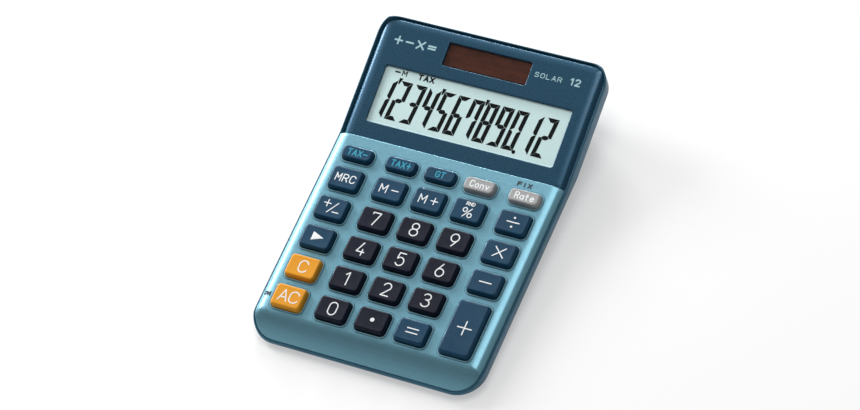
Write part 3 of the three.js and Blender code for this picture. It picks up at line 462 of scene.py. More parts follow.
RUBBER = moulded("rubber_foot", srgb(34, 34, 36), 0.8, grain=1500)
WIRE_RED = moulded("red_lead", srgb(160, 32, 32), 0.45)
WIRE_BLACK = moulded("black_lead", srgb(30, 30, 32), 0.45)


def steel():
    made = Finish("bright_steel", srgb(196, 198, 202), 0.28, metallic=1.0)
    scratches = made.noise(1400, 4, stretch=(1, 0.1, 1))
    made.rough(scratches, 0.2, 0.42)
    made.bump(scratches, 0.1, 0.00001)
    return made.material


def clear_window():
    made = Finish("clear_window", srgb(30, 44, 46), 0.04, specular=0.3, alpha=0.035)
    made.rough(made.noise(300), 0.02, 0.07)
    return made.material


def solar_glass():
    made = Finish("solar_film", srgb(76, 40, 28), 0.3, specular=0.2)
    made.tint(made.noise(500, 4, stretch=(0.2, 1, 1)), srgb(68, 34, 24), srgb(86, 46, 32))
    return made.material


STEEL = steel()
WINDOW = clear_window()
SOLAR = solar_glass()

# ---- Keys -----------------------------------------------------------------------------------------

KEY_ROWS = [
    ["tax_minus", "tax_plus", "grand_total", "convert", "rate"],
    ["memory_recall", "memory_minus", "memory_plus", "percent", "divide"],
    ["sign", "7", "8", "9", "multiply"],
    ["backspace", "4", "5", "6", "minus"],
    ["clear", "1", "2", "3", "plus"],
    ["all_clear", "0", "decimal", "equals"],
]
KEY_NAMES = [name for row in KEY_ROWS for name in row]
KEY_FINISH = {name: (KEY_DARK, "key_dark") for name in [*"0123456789", "decimal"]}
KEY_FINISH.update(dict.fromkeys(["clear", "all_clear"], (KEY_ORANGE, "key_orange")))
KEY_FINISH.update(dict.fromkeys(["convert", "rate"], (KEY_GREY, "key_grey")))
FLANGE_REACH = 0.7        # flange beyond the plate's opening
KEY_DRAFT = 0.35
KEY_SHOULDER = 1.0
SHOULDER_STEPS = 6
KEY_CORNER = 2.35
SLIM_KEY_CORNER = 2.8     # of the function keys, which are less deep
SLIM_KEY = 10             # openings less deep than this are those keys'
PLUNGER = (6, 5, 1.5)     # width, depth and corner
PLUNGER_END, FLANGE_BOTTOM, FLANGE_TOP = -4.2, -3.5, -2.8


def key_place(name):
    """Centre and size of a key's opening in the keypad's plane, from its flange in the frame."""
    low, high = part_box("key_" + name)
    x = (low.x + high.x) / 2 / MM
    w = (high.x - low.x) / MM - 2 * FLANGE_REACH
    back = (high.y / MM - JUNCTION_Y + FLANGE_BOTTOM * math.sin(SLOPE)) / math.cos(SLOPE) - FLANGE_REACH
    front = (low.y / MM - JUNCTION_Y + FLANGE_TOP * math.sin(SLOPE)) / math.cos(SLOPE) + FLANGE_REACH
    return x, (front + back) / 2, w, back - front


KEYS = {name: key_place(name) for name in KEY_NAMES}


def key_corner(h):
    return KEY_CORNER if h > SLIM_KEY else SLIM_KEY_CORNER


def key_top(x, y, w, h):
    """Height of a key's top over its middle: a shallow hollow."""
    return KEY_RISE - KEY_DISH * max(1 - (2 * x / w) ** 2, 0) * max(1 - (2 * y / h) ** 2, 0)


def key_cap(name):
    """Plunger, flange, drafted body, soft shoulder and hollow top, as one closed loft."""
    x, y, w, h = KEYS[name]
    radius = key_corner(h)
    rings = []

    def ring(rw, rh, r, up):
        loop = rounded(0, 0, rw, rh, r, 6, 5)
        heights = [key_top(a, b, w, h) if up is None else up for a, b in loop]
        rings.append([keypad_point(x + a, y + b, z) for (a, b), z in zip(loop, heights)])

    def grown(by, up, rounding=0.0):
        ring(w + 2 * by, h + 2 * by, max(radius + by + rounding, 0.4), up)

    ring(*PLUNGER, PLUNGER_END)
    ring(*PLUNGER, FLANGE_BOTTOM)
    for by, up in [(FLANGE_REACH, FLANGE_BOTTOM), (FLANGE_REACH, FLANGE_TOP), (-KEY_SLIP, FLANGE_TOP)]:
        grown(by, up)
    base = -KEY_SLIP - KEY_DRAFT
    grown(-KEY_SLIP, 0.0)
    for k in range(SHOULDER_STEPS + 1):
        a = math.radians(90 * k / SHOULDER_STEPS)
        reach = KEY_SHOULDER * (1 - math.cos(a))
        grown(base - reach, KEY_RISE - KEY_SHOULDER + KEY_SHOULDER * math.sin(a), reach * 0.5)
    top_w, top_h = w + 2 * (base - KEY_SHOULDER), h + 2 * (base - KEY_SHOULDER)
    for share in (0.92, 0.8, 0.64, 0.46, 0.28, 0.1):
        ring(top_w * share, top_h * share, (radius - 0.9) * share, None)
    finish, slot = KEY_FINISH.get(name, (KEY_BLUE, "key_blue"))
    made = lofted("cap_" + name, rings, finish, smooth=40)
    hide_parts("key_" + name)
    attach(made, "key_" + name)


for name in KEY_NAMES:
    key_cap(name)

# ---- Lettering ------------------------------------------------------------------------------------
# Each sign is a list of strokes in a unit box, drawn with one round pen.

def bow(cx, cy, rx, ry, start, end):
    return arc(cx, cy, rx, ry, start, end, max(int(abs(end - start) / 12), 3))


SIGNS = {
    "0": [bow(0.5, 0.69, 0.5, 0.31, 0, 180) + bow(0.5, 0.31, 0.5, 0.31, 180, 360) + [(1, 0.69)]],
    "1": [[(0.22, 0.8), (0.62, 1)], [(0.62, 1), (0.62, 0)]],
    "2": [bow(0.5, 0.72, 0.47, 0.28, 165, -28) + [(0.03, 0)], [(0.03, 0), (1, 0)]],
    "3": [bow(0.47, 0.77, 0.45, 0.23, 155, -90) + [(0.38, 0.54)], bow(0.47, 0.27, 0.5, 0.27, 90, -155)],
    "4": [[(0.62, 1), (0.02, 0.26)], [(0.02, 0.26), (1, 0.26)], [(0.74, 0.46), (0.74, 0)]],
    "5": [[(0.92, 1), (0.14, 1)], [(0.14, 1), (0.08, 0.55)], bow(0.49, 0.33, 0.5, 0.33, 138, -150)],
    "6": [bow(0.5, 0.31, 0.5, 0.31, 0, 360), [(0.07, 0.46), (0.6, 1)]],
    "7": [[(0.02, 0.88), (0.02, 1)], [(0.02, 1), (1, 1)], [(1, 1), (0.4, 0)]],
    "8": [bow(0.5, 0.76, 0.43, 0.24, 0, 360), bow(0.5, 0.27, 0.5, 0.27, 0, 360)],
    "9": [bow(0.5, 0.69, 0.5, 0.31, 0, 360), [(0.93, 0.54), (0.4, 0)]],
    "A": [[(0, 0), (0.5, 1)], [(0.5, 1), (1, 0)], [(0.16, 0.32), (0.84, 0.32)]],
    "C": [bow(0.52, 0.69, 0.52, 0.31, 15, 180) + bow(0.52, 0.31, 0.52, 0.31, 180, 345)],
    "D": [[(0, 0), (0, 1)], [(0, 1), (0.4, 1)] + bow(0.4, 0.5, 0.6, 0.5, 90, -90) + [(0, 0)]],
    "F": [[(0, 0), (0, 1)], [(0, 1), (1, 1)], [(0, 0.52), (0.8, 0.52)]],
    "G": [bow(0.52, 0.69, 0.52, 0.31, 15, 180) + bow(0.52, 0.31, 0.52, 0.31, 180, 360) + [(1.04, 0.45)],
          [(1.04, 0.45), (0.6, 0.45)]],
    "I": [[(0.5, 0), (0.5, 1)]],
    "L": [[(0, 1), (0, 0)], [(0, 0), (0.9, 0)]],
    "M": [[(0, 0), (0, 1)], [(0, 1), (0.5, 0.36)], [(0.5, 0.36), (1, 1)], [(1, 1), (1, 0)]],
    "N": [[(0, 0), (0, 1)], [(0, 1), (1, 0)], [(1, 0), (1, 1)]],
    "O": [bow(0.5, 0.66, 0.5, 0.34, 0, 180) + bow(0.5, 0.34, 0.5, 0.34, 180, 360) + [(1, 0.66)]],
    "R": [[(0, 0), (0, 1)], [(0, 1), (0.6, 1)] + bow(0.6, 0.74, 0.38, 0.26, 90, -90) + [(0, 0.48)],
          [(0.55, 0.48), (1, 0)]],
    "S": [bow(0.5, 0.75, 0.46, 0.25, 20, 250) + bow(0.5, 0.26, 0.48, 0.26, 70, -160)],
    "T": [[(0, 1), (1, 1)], [(0.5, 1), (0.5, 0)]],
    "X": [[(0, 0), (1, 1)], [(0, 1), (1, 0)]],
    "a": [bow(0.48, 0.3, 0.46, 0.3, 0, 360), [(0.96, 0.62), (0.96, 0)]],
    "e": [[(0.05, 0.33), (0.95, 0.33)], bow(0.5, 0.31, 0.46, 0.31, 0, 320)],
    "n": [[(0.06, 0), (0.06, 0.62)], bow(0.5, 0.32, 0.44, 0.3, 180, 0) + [(0.94, 0)]],
    "o": [bow(0.5, 0.31, 0.46, 0.31, 0, 360)],
    "t": [[(0.4, 0.95), (0.4, 0.15)] + bow(0.62, 0.17, 0.22, 0.17, 180, 280), [(0.1, 0.62), (0.8, 0.62)]],
    "v": [[(0.02, 0.62), (0.5, 0)], [(0.5, 0), (0.98, 0.62)]],
    "+": [[(0, 0.5), (1, 0.5)], [(0.5, 0), (0.5, 1)]],
    "-": [[(0, 0.5), (1, 0.5)]],
    "=": [[(0, 0.67), (1, 0.67)], [(0, 0.33), (1, 0.33)]],
    "/": [[(0, 0), (1, 1)]],
    "x": [[(0, 0), (1, 1)], [(0, 1), (1, 0)]],
    "%": [bow(0.2, 0.77, 0.2, 0.23, 0, 360), bow(0.8, 0.23, 0.2, 0.23, 0, 360), [(0.16, 0), (0.84, 1)]],
}


def resampled(points, step):
    made = [points[0]]
    for a, b in zip(points, points[1:]):
        count = max(math.ceil(math.dist(a, b) / step), 1)
        made += between(a, b, count - 1) + [b]
    return made


def pen_stroke(points, width):
    """The outline of one stroke of a round pen: left side, far end, right side, near end."""
    points = resampled(points, 0.5)
    left, right = [], []
    for i, p in enumerate(points):
        a, b = points[max(i - 1, 0)], points[min(i + 1, len(points) - 1)]
        run = math.dist(a, b)
        nx, ny = -(b[1] - a[1]) / run * width / 2, (b[0] - a[0]) / run * width / 2
        left.append((p[0] + nx, p[1] + ny))
        right.append((p[0] - nx, p[1] - ny))
    return points, left, right


def letter_strokes(text, cx, cy, w, h, gap):
    """Strokes of a line of text centred on a place, each sign in a box of its own."""
    total = len(text) * w + (len(text) - 1) * gap
    made = []
    for i, sign in enumerate(text):
        x = cx - total / 2 + i * (w + gap)
        for stroke in SIGNS.get(sign, []):
            made.append([(x + a * w, cy - h / 2 + b * h) for a, b in stroke])
    return made


LAYER = 0.004             # each stroke lies this much over the last, so that crossings stay clean


def printed(name, strokes, width, surface, material, thickness=0.06, sink=0.05):
    """Strokes laid as thin raised ink on a surface, given as a function of place and lift."""
    points, faces = [], []
    for layer, stroke in enumerate(strokes):
        closed = math.dist(stroke[0], stroke[-1]) < 1e-6
        middle, left, right = pen_stroke(stroke, width)
        if closed:
            for side in (left, right):
                side[0] = side[-1] = tuple((a + b) / 2 for a, b in zip(side[0], side[-1]))
        lift = thickness + LAYER * layer
        start = len(points)
        n = len(middle)
        for side in (left, right):
            points += [surface(x, y, lift) for x, y in side]
            points += [surface(x, y, -sink) for x, y in side]
        top_l, low_l, top_r, low_r = (start + n * k for k in range(4))
        for i in range(n - 1):
            faces.append((top_r + i, top_r + i + 1, top_l + i + 1, top_l + i))
            faces.append((low_l + i, low_l + i + 1, low_r + i + 1, low_r + i))
            faces.append((top_l + i, top_l + i + 1, low_l + i + 1, low_l + i))
            faces.append((low_r + i, low_r + i + 1, top_r + i + 1, top_r + i))
        if closed:
            continue
        for end, other, flip in ((0, 1, False), (n - 1, n - 2, True)):
            px, py = middle[end]
            ox, oy = middle[other]
            away = math.atan2(py - oy, px - ox)
            angles = [away + math.radians(90 - 180 * k / 8) for k in range(9)]
            if not flip:
                angles = angles[::-1]
            rim = [(px + math.cos(a) * width / 2, py + math.sin(a) * width / 2) for a in angles]
            base = len(points)
            points += [surface(x, y, lift) for x, y in rim[1:-1]]
            points += [surface(x, y, -sink) for x, y in rim[1:-1]]
            tops = [top_l + end] + list(range(base, base + 7)) + [top_r + end]
            lows = [low_l + end] + list(range(base + 7, base + 14)) + [low_r + end]
            faces.append(tuple(tops))
            faces.append(tuple(reversed(lows)))
            for k in range(8):
                faces.append((tops[k], lows[k], lows[k + 1], tops[k + 1]))
    return mesh_object(name, points, faces, material, smooth=50)


def key_print(name, strokes, width, material, label="print"):
    x, y, w, h = KEYS[name]
    made = printed(
        f"{label}_{name}", strokes, width,
        lambda a, b, lift: keypad_point(x + a + PRINT_SHIFT, y + b, key_top(a, b, w, h) + lift), material)
    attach(made, "key_" + name)


DIGIT = (4.2, 6.8)        # pen centre line of the large digits
PEN = 0.6
FINE_PEN = 0.54
PRINT_SHIFT = 0.45        # of the legends to the right of the keys' middle
for digit in "0123456789":
    key_print(digit, letter_strokes(digit, 0, 0, *DIGIT, 0), PEN, WHITE_PRINT)
for name, sign, w, h in [
    ("multiply", "x", 5.5, 5.2), ("minus", "-", 6.3, 1.0), ("plus", "+", 7.3, 7.3), ("equals", "=", 5.9, 6.6),
]:
    key_print(name, letter_strokes(sign, 0, 0, w, h, 0), PEN, WHITE_PRINT)
key_print("clear", letter_strokes("C", 0, 0, 4.3, 6.3, 0), PEN, WHITE_PRINT)
key_print("all_clear", letter_strokes("AC", 0, 0, 4.5, 6.0, 1.1), PEN, WHITE_PRINT)
key_print("memory_recall", letter_strokes("MRC", 0, 0, 2.6, 4.0, 1.3), FINE_PEN, WHITE_PRINT)
for name, sign in [("memory_minus", "-"), ("memory_plus", "+")]:
    strokes = letter_strokes("M", -3.1, 0, 3.5, 4.3, 0) + letter_strokes(sign, 3.2, 0, 3.6, 3.6, 0)
    key_print(name, strokes, FINE_PEN, WHITE_PRINT)


def dot(cx, cy, diameter):
    """A filled round dot, as a short fat stroke with turned ends."""
    return [[(cx - 0.02, cy), (cx + 0.02, cy)]], diameter


key_print("divide", letter_strokes("-", 0, 0, 6.4, 1.0, 0), PEN, WHITE_PRINT)
for sign, y in (("high", 2.5), ("low", -2.5)):
    strokes, pen = dot(0, y, 1.15)
    key_print("divide", strokes, pen, WHITE_PRINT, f"dot_{sign}")
key_print("decimal", *dot(0, 0, 2.2), WHITE_PRINT)
key_print("percent", letter_strokes("%", 0, -1.2, 5.3, 4.9, 0), FINE_PEN, WHITE_PRINT)
key_print("percent", letter_strokes("RND", 0, 3.6, 1.1, 1.7, 0.55), 0.38, WHITE_PRINT, "note")
key_print("sign", letter_strokes("+", -2.9, 1.9, 3.7, 3.7, 0) + letter_strokes("/", 0.6, 0, 4.2, 6.0, 0)
          + letter_strokes("-", 2.9, -2.3, 3.3, 1.0, 0), FINE_PEN, WHITE_PRINT)


def arrow_print():
    """A solid arrow head with softened corners, filled by a raised three-sided plate."""
    x, y, w, h = KEYS["backspace"]
    corners = [(-2.9, -2.4), (3.4, 0.0), (-2.9, 2.4)]
    loop = [p for a, b in zip(corners, corners[1:] + corners[:1]) for p in [a, *between(a, b, 5)]]
    rings = [
        [keypad_point(x + PRINT_SHIFT + a * s, y + b * s, key_top(a, b, w, h) + lift) for a, b in loop]
        for s, lift in ((1, -0.05), (1, 0.03), (0.96, 0.06), (0.5, 0.06))
    ]
    made = lofted("print_backspace", rings, WHITE_PRINT)
    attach(made, "key_backspace")


arrow_print()
for name, text in [("tax_minus", "TAX-"), ("tax_plus", "TAX+"), ("grand_total", "GT")]:
    key_print(name, letter_strokes(text, 0, 0, 1.9, 3.1, 0.95), 0.62, CYAN_PRINT)
for name, text in [("convert", "Conv"), ("rate", "Rate")]:
    key_print(name, letter_strokes(text, 0, 0, 1.85, 3.3, 0.9), 0.6, WHITE_PRINT)

# ---- Plates ---------------------------------------------------------------------------------------

CUT_POINTS = 40           # along the straight edge where the plates meet


def seam_part(low, high):
    """The seam outline between two level places, closed off straight across."""
    loop = case_outline(SEAM)
    x = HALF - SEAM
    kept = [p for p in loop if low < p[1] < high]
    if low > FRONT:
        split = next(i for i, p in enumerate(kept) if p[0] < 0 and math.isclose(p[0], -x, abs_tol=1e-6)
                     and kept[(i + 1) % len(kept)][0] > 0)
        cut = [(-x, low), *between((-x, low), (x, low), CUT_POINTS), (x, low)]
    else:
        split = next(i for i, p in enumerate(kept) if p[0] > 0 and kept[(i + 1) % len(kept)][0] < 0)
        cut = [(x, high), *between((x, high), (-x, high), CUT_POINTS), (-x, high)]
    return kept[:split + 1] + cut + kept[split + 1:]


EDGE_SINKS = ((0.0, 0.22), (0.07, 0.1), (0.2, 0.02), (0.35, 0.0), (0.5, 0.0))
ROLL_STEPS = (0.8, 1.2, 1.7, 2.3, 3.0, 3.8, 4.6, 5.4, 6.0, 6.5)


def panel_edge(loop):
    return [(pulled_in(loop, inset) if inset else loop, sink) for inset, sink in EDGE_SINKS]


def clear_of(points, loops, margin):
    """Points that keep their distance from every loop's box."""
    boxes = [loop_box(b, margin) for b in loops]
    return [p for p in points if not any(x0 < p[0] < x1 and y0 < p[1] < y1 for x0, x1, y0, y1 in boxes)]


DETAIL_MARGIN = 0.3       # between a plate's inner points and its openings
LIP = 0.65                # raised lip round each key opening
LIP_RISE = 0.55
GROOVE_RINGS = ((0.0, 0.18), (0.1, 0.0), (0.72, 0.0), (0.84, 0.2), (1.04, 0.2), (1.16, 0.0), (1.26, 0.0))


def key_opening(name):
    x, y, w, h = KEYS[name]
    r = key_corner(h) + KEY_SLIP
    made = []
    for out, sink in GROOVE_RINGS:
        loop = rounded(x, y, w + 2 * out, h + 2 * out, r + out, 7)
        made.append(([(a, b * math.cos(SLOPE)) for a, b in loop], sink))
    return made


def keypad_plate():
    outline = seam_part(FRONT - 1, -GAP / 2 * math.cos(SLOPE))
    openings = [key_opening(name) for name in KEY_NAMES]
    details = [p for step in ROLL_STEPS for p in pulled_in(outline, step)]
    rows, columns, first, row_step, column_step = 13, 22, 6, 0.6, 2.5
    apron_rows = [FRONT + SEAM + first + row_step * k for k in range(rows)]
    details += [(x * column_step, y) for y in apron_rows for x in range(-columns, columns + 1)]
    details = clear_of(details, [hole[-1][0] for hole in openings], DETAIL_MARGIN)
    made = plate("keypad_plate", panel_edge(outline), openings, details, keypad_height, PANEL, TEAL)
    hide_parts("keypad_panel")
    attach(made, "case")


PANE = 0.8                # thickness of a window
PANE_SINK = 0.15          # below the plate's face


def window_box(node):
    """A window's middle and size in the display's plane, from its pane in the frame."""
    low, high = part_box(node)
    top = DISPLAY_SINK + PANE_SINK
    front = (low.y / MM - JUNCTION_Y - top * math.sin(STEEP)) / math.cos(STEEP)
    back = (high.y / MM - JUNCTION_Y - (top + PANE) * math.sin(STEEP)) / math.cos(STEEP)
    return (front + back) / 2, (high.x - low.x) / MM, back - front


LCD_MIDDLE, LCD_W, LCD_H = window_box("display_window")
SOLAR_MIDDLE, SOLAR_W, SOLAR_H = window_box("solar_window")


def window_opening(middle, w, h, r):
    made = []
    for out, sink in ((0.0, 0.3), (0.12, 0.1), (0.3, 0.0), (0.45, 0.0)):
        loop = rounded(0, middle, w + 2 * out, h + 2 * out, r + out, 5, 10)
        made.append(([(a, b * math.cos(STEEP)) for a, b in loop], sink))
    return made


def sunk_display(x, y):
    return display_height(x, y, DISPLAY_SINK)


def display_plate():
    outline = seam_part(GAP / 2 * math.cos(STEEP), BACK + 1)
    windows = [
        window_opening(LCD_MIDDLE, LCD_W + 2 * GAP, LCD_H + 2 * GAP, 1.2),
        window_opening(SOLAR_MIDDLE, SOLAR_W + 2 * GAP, SOLAR_H + 2 * GAP, 1.0),
    ]
    details = [p for step in ROLL_STEPS for p in pulled_in(outline, step)]
    details = clear_of(details, [hole[-1][0] for hole in windows], DETAIL_MARGIN)
    made = plate("display_plate", panel_edge(outline), windows, details, sunk_display, PANEL, NAVY)
    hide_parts("display_panel")
    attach(made, "case")


keypad_plate()
display_plate()

# ---- Rim and skirt of the upper case --------------------------------------------------------------

def evaluated(made, name):
    """The object's mesh with its modifiers carried out, in a new object that takes its place."""
    bpy.context.view_layer.update()
    depsgraph = bpy.context.evaluated_depsgraph_get()
    mesh = bpy.data.meshes.new_from_object(made.evaluated_get(depsgraph))
    for modifier in list(made.modifiers):
        made.modifiers.remove(modifier)
    bpy.data.objects.remove(made)
    return finished(name, mesh)


def combined(name, first, second, operation):
    """Two solids joined or cut, in one new object in place of both."""
    step = first.modifiers.new("combine", "BOOLEAN")
    step.operation = operation
    step.solver = "MANIFOLD"
    step.object = second
    made = evaluated(first, name)
    bpy.data.objects.remove(second)
    return made


def deck_height(x, y, sink):
    """The shelf under the plates steps down with the display plate."""
    return keypad_height(x, y, sink) if y < 0 else display_height(x, y, sink + DISPLAY_SINK)


# Pairs of inset and depth below the rim's top, and of inset and height over the skirt's edge.
RIM_TOP = (
    (0.9, 0.4), (0.86, 0.14), (0.74, 0.02), (0.5, 0.0), (0.3, 0.04), (0.12, 0.18), (0.03, 0.4), (0.0, 0.7),
)
SKIRT_EDGE = ((0.0, 0.5), (0.04, 0.2), (0.16, 0.04), (0.4, 0.0), (1.8, 0.0), (2.0, 0.2))
SHELF = 2.7               # how far in the fine rim reaches, with the shelf's edge
PLAIN = 2.4               # where the plain inner part of the case takes over
CORE_HEIGHTS = (-10, 60)  # well under and over the whole case


def case_rim():
    rings = []

    def ring(inset, height):
        rings.append([level_point(x, y, height(x, y)) for x, y in case_outline(inset)])

    shelf_top, shelf_bottom = PANEL + GAP, PANEL + GAP + DECK
    ring(SHELF, lambda x, y: deck_height(x, y, shelf_top))
    ring(SEAM - GAP, lambda x, y: deck_height(x, y, shelf_top))
    for inset, sink in RIM_TOP:
        ring(inset, lambda x, y, sink=sink: crown_height(x, y, sink))
    for inset, lift in SKIRT_EDGE:
        ring(inset, lambda x, y, lift=lift: skirt_height(y, lift))
    ring(WALL, lambda x, y: deck_height(x, y, shelf_bottom))
    ring(SHELF, lambda x, y: deck_height(x, y, shelf_bottom))
    return lofted("case_rim", rings, CASE_BLUE, closed_section=True)


def mesh_copy(node):
    """A welded copy of one of the frame's pieces."""
    mesh = frame["nodes"][node].data.copy()
    shape = bmesh.new()
    shape.from_mesh(mesh)
    bmesh.ops.remove_doubles(shape, verts=shape.verts, dist=1e-7)
    shape.to_mesh(mesh)
    shape.free()
    made = bpy.data.objects.new(node + "_copy", mesh)
    bpy.context.scene.collection.objects.link(made)
    return made


def upper_shell():
    plain = mesh_copy("upper_case")
    loop = case_outline(PLAIN)
    core = lofted("core", [[level_point(x, y, z) for x, y in loop] for z in CORE_HEIGHTS])
    inner = combined("inner_case", plain, core, "INTERSECT")
    made = combined("upper_shell", case_rim(), inner, "UNION")
    made.data.materials.clear()
    made.data.materials.append(CASE_BLUE)
    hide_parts("upper_case")
    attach(made, "case")


upper_shell()

# ---- Display -------------------------------------------------------------------------------------

SEGMENTS_LIT = {
    "0": "abcdef", "1": "bc", "2": "abged", "3": "abgcd", "4": "fgbc",
    "5": "afgcd", "6": "afgedc", "7": "fabc", "8": "abcdefg", "9": "abcdfg",
}
READING = "123456789012"
DIGIT_W, DIGIT_H = 6.5, 20.9
BAR = 2.2                 # thickness of a segment
BAR_GAP = 0.1
POINT_RADIUS = 1.0        # of the decimal point
DIGIT_PITCH = 8.09
DIGIT_START = -51.2       # left edge of the first digit, at its foot
DIGIT_FOOT = 12.3
LEAN = math.tan(math.radians(6))
GLASS = -DISPLAY_SINK - PANEL - GAP  # face of the display glass
INK = 0.05                # thickness of segments and prints
PRINT_SINK = 0.02         # how far they reach into what they lie on
INDICATOR_ROW = 37.2      # the small signs over the digits


def segment_shapes():
    """The seven bars of a digit, with mitred ends, in the digit's own box."""
    w, h, t, g = DIGIT_W, DIGIT_H, BAR, BAR_GAP
    m = h / 2
    upper = [(0, h - g), (t, h - t - g), (t, m + t / 2 + g), (t / 2, m + g), (0, m + g)]
    top = [(g, h), (w - g, h), (w - t - g, h - t), (t + g, h - t)]
    middle = [(t / 2 + g, m), (t + g, m + t / 2), (w - t - g, m + t / 2), (w - t / 2 - g, m),
              (w - t - g, m - t / 2), (t + g, m - t / 2)]

    def across(bar):
        return [(w - x, y) for x, y in reversed(bar)]

    def below(bar):
        return [(x, h - y) for x, y in reversed(bar)]

    return {"a": top, "b": across(upper), "c": below(across(upper)), "d": below(top),
            "e": below(upper), "f": upper, "g": middle}


def flat_shapes(name, outlines, low, high, material):
    """Thin flat shapes in the display's plane, between two heights."""
    points, faces = [], []
    for outline in outlines:
        start, n = len(points), len(outline)
        points += [display_point(x, v, low) for x, v in outline]
        points += [display_point(x, v, high) for x, v in outline]
        faces.append(tuple(start + i for i in reversed(range(n))))
        faces.append(tuple(start + n + i for i in range(n)))
        for i in range(n):
            j = (i + 1) % n
            faces.append((start + i, start + j, start + n + j, start + n + i))
    made = mesh_object(name, points, faces, material)
    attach(made, "case")


def leaning(x, v):
    return x + (v - DIGIT_FOOT) * LEAN, v


def display_reading():
    bars = segment_shapes()
    outlines = []
    for i, digit in enumerate(READING):
        x = DIGIT_START + i * DIGIT_PITCH
        for bar in SEGMENTS_LIT[digit]:
            outlines.append([leaning(x + a, DIGIT_FOOT + b) for a, b in bars[bar]])
    for i in (0, 3, 6):
        x = DIGIT_START + i * DIGIT_PITCH + DIGIT_W + (DIGIT_PITCH - DIGIT_W) / 2
        top = DIGIT_FOOT + DIGIT_H
        mark = [(x - 0.35, top - 2.0), (x + 0.25, top - 2.0), (x + 1.1, top + 1.3), (x - 0.9, top + 1.3)]
        outlines.append([leaning(a, b) for a, b in mark])
    x = DIGIT_START + 9 * DIGIT_PITCH + DIGIT_W + (DIGIT_PITCH - DIGIT_W) / 2
    outlines.append(arc(x, DIGIT_FOOT - 0.2, POINT_RADIUS, POINT_RADIUS, 0, 345, 23))
    flat_shapes("display_digits", outlines, GLASS - PRINT_SINK, GLASS + INK, LCD_INK)


def lettered(name, strokes, width, up, material):
    """Printed strokes on the display's plane at some height."""
    def surface(x, v, lift):
        return display_point(x, v, up + lift)

    made = printed(name, strokes, width, surface, material, INK, PRINT_SINK)
    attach(made, "case")


display_reading()
lettered("sign_minus", letter_strokes("-", -44.6, INDICATOR_ROW, 2.3, 1.0, 0), 0.85, GLASS, LCD_INK)
lettered("sign_memory", letter_strokes("M", -40.7, INDICATOR_ROW, 2.3, 2.5, 0), 0.5, GLASS, LCD_INK)
lettered("sign_tax", letter_strokes("TAX", -28.6, INDICATOR_ROW, 2.1, 2.5, 1.1), 0.75, GLASS, LCD_INK)

# ---- Prints on the plates -------------------------------------------------------------------------

def plate_print(name, strokes, width, material):
    def surface(x, along, lift):
        return keypad_point(x, along, lift - keypad_drop(x, along))

    made = printed(name, strokes, width, surface, material, 4 * INK, PRINT_SINK)
    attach(made, "case")


plate_print("print_fix", letter_strokes("FIX", 42.4, -3.6, 1.8, 2.0, 1.0), 0.55, DARK_PRINT)
plate_print("print_on", letter_strokes("ON", -58.9, -93.6, 1.2, 1.9, 0.7), 0.5, DARK_PRINT)
PLATE_FACE = -DISPLAY_SINK
lettered("print_operations", letter_strokes("+-x=", -40.4, 52.9, 3.8, 3.8, 2.4), 0.9, PLATE_FACE, PALE_PRINT)
lettered("print_solar", letter_strokes("SOLAR", 33.4, 52.6, 2.0, 2.3, 1.1), 0.4, PLATE_FACE, PALE_PRINT)
lettered("print_twelve", letter_strokes("12", 47.6, 53.2, 2.4, 3.2, 0.7), 0.75, PLATE_FACE, PALE_PRINT)

# ---- Pieces grown by rule -------------------------------------------------------------------------

class Growth:
    """A geometry tree under construction: named number inputs, and one way to add a node."""

    def __init__(self, name, **inputs):
        self.tree = bpy.data.node_groups.new(name, "GeometryNodeTree")
        face = self.tree.interface
        face.new_socket("Geometry", in_out="INPUT", socket_type="NodeSocketGeometry")
        for label, value in inputs.items():
            face.new_socket(label, in_out="INPUT", socket_type="NodeSocketFloat").default_value = value
        face.new_socket("Geometry", in_out="OUTPUT", socket_type="NodeSocketGeometry")
        self.given = self.tree.nodes.new("NodeGroupInput").outputs
        self.result = self.tree.nodes.new("NodeGroupOutput").inputs

    def add(self, kind, sockets, **settings):
        made = self.tree.nodes.new("GeometryNode" + kind)
        for key, value in settings.items():
            setattr(made, key, value)
        for label, value in sockets.items():
            if isinstance(value, bpy.types.NodeSocket):
                self.tree.links.new(value, made.inputs[label])
            else:
                made.inputs[label].default_value = value
        return made.outputs[0]

    def repeated(self, instance, rotation, material):
        """Ends the tree with copies of the instance on every point given."""
        copies = self.add("InstanceOnPoints", {"Points": self.given["Geometry"], "Instance": instance,
                                               "Rotation": rotation})
        solid = self.add("RealizeInstances", {"Geometry": copies})
        looks = self.add("SetMaterial", {"Geometry": solid, "Material": material})
        self.tree.links.new(looks, self.result["Geometry"])

    def grow(self, name, places, **inputs):
        """Runs the tree over some places and returns the finished object."""
        mesh = bpy.data.meshes.new(name)
        mesh.from_pydata([tuple(p) for p in places], [], [])
        made = bpy.data.objects.new(name, mesh)
        bpy.context.scene.collection.objects.link(made)
        step = made.modifiers.new("grow", "NODES")
        step.node_group = self.tree
        for item in self.tree.interface.items_tree:
            if item.item_type == "SOCKET" and item.in_out == "INPUT" and item.name in inputs:
                step[item.identifier] = inputs[item.name]
        return evaluated(made, name)


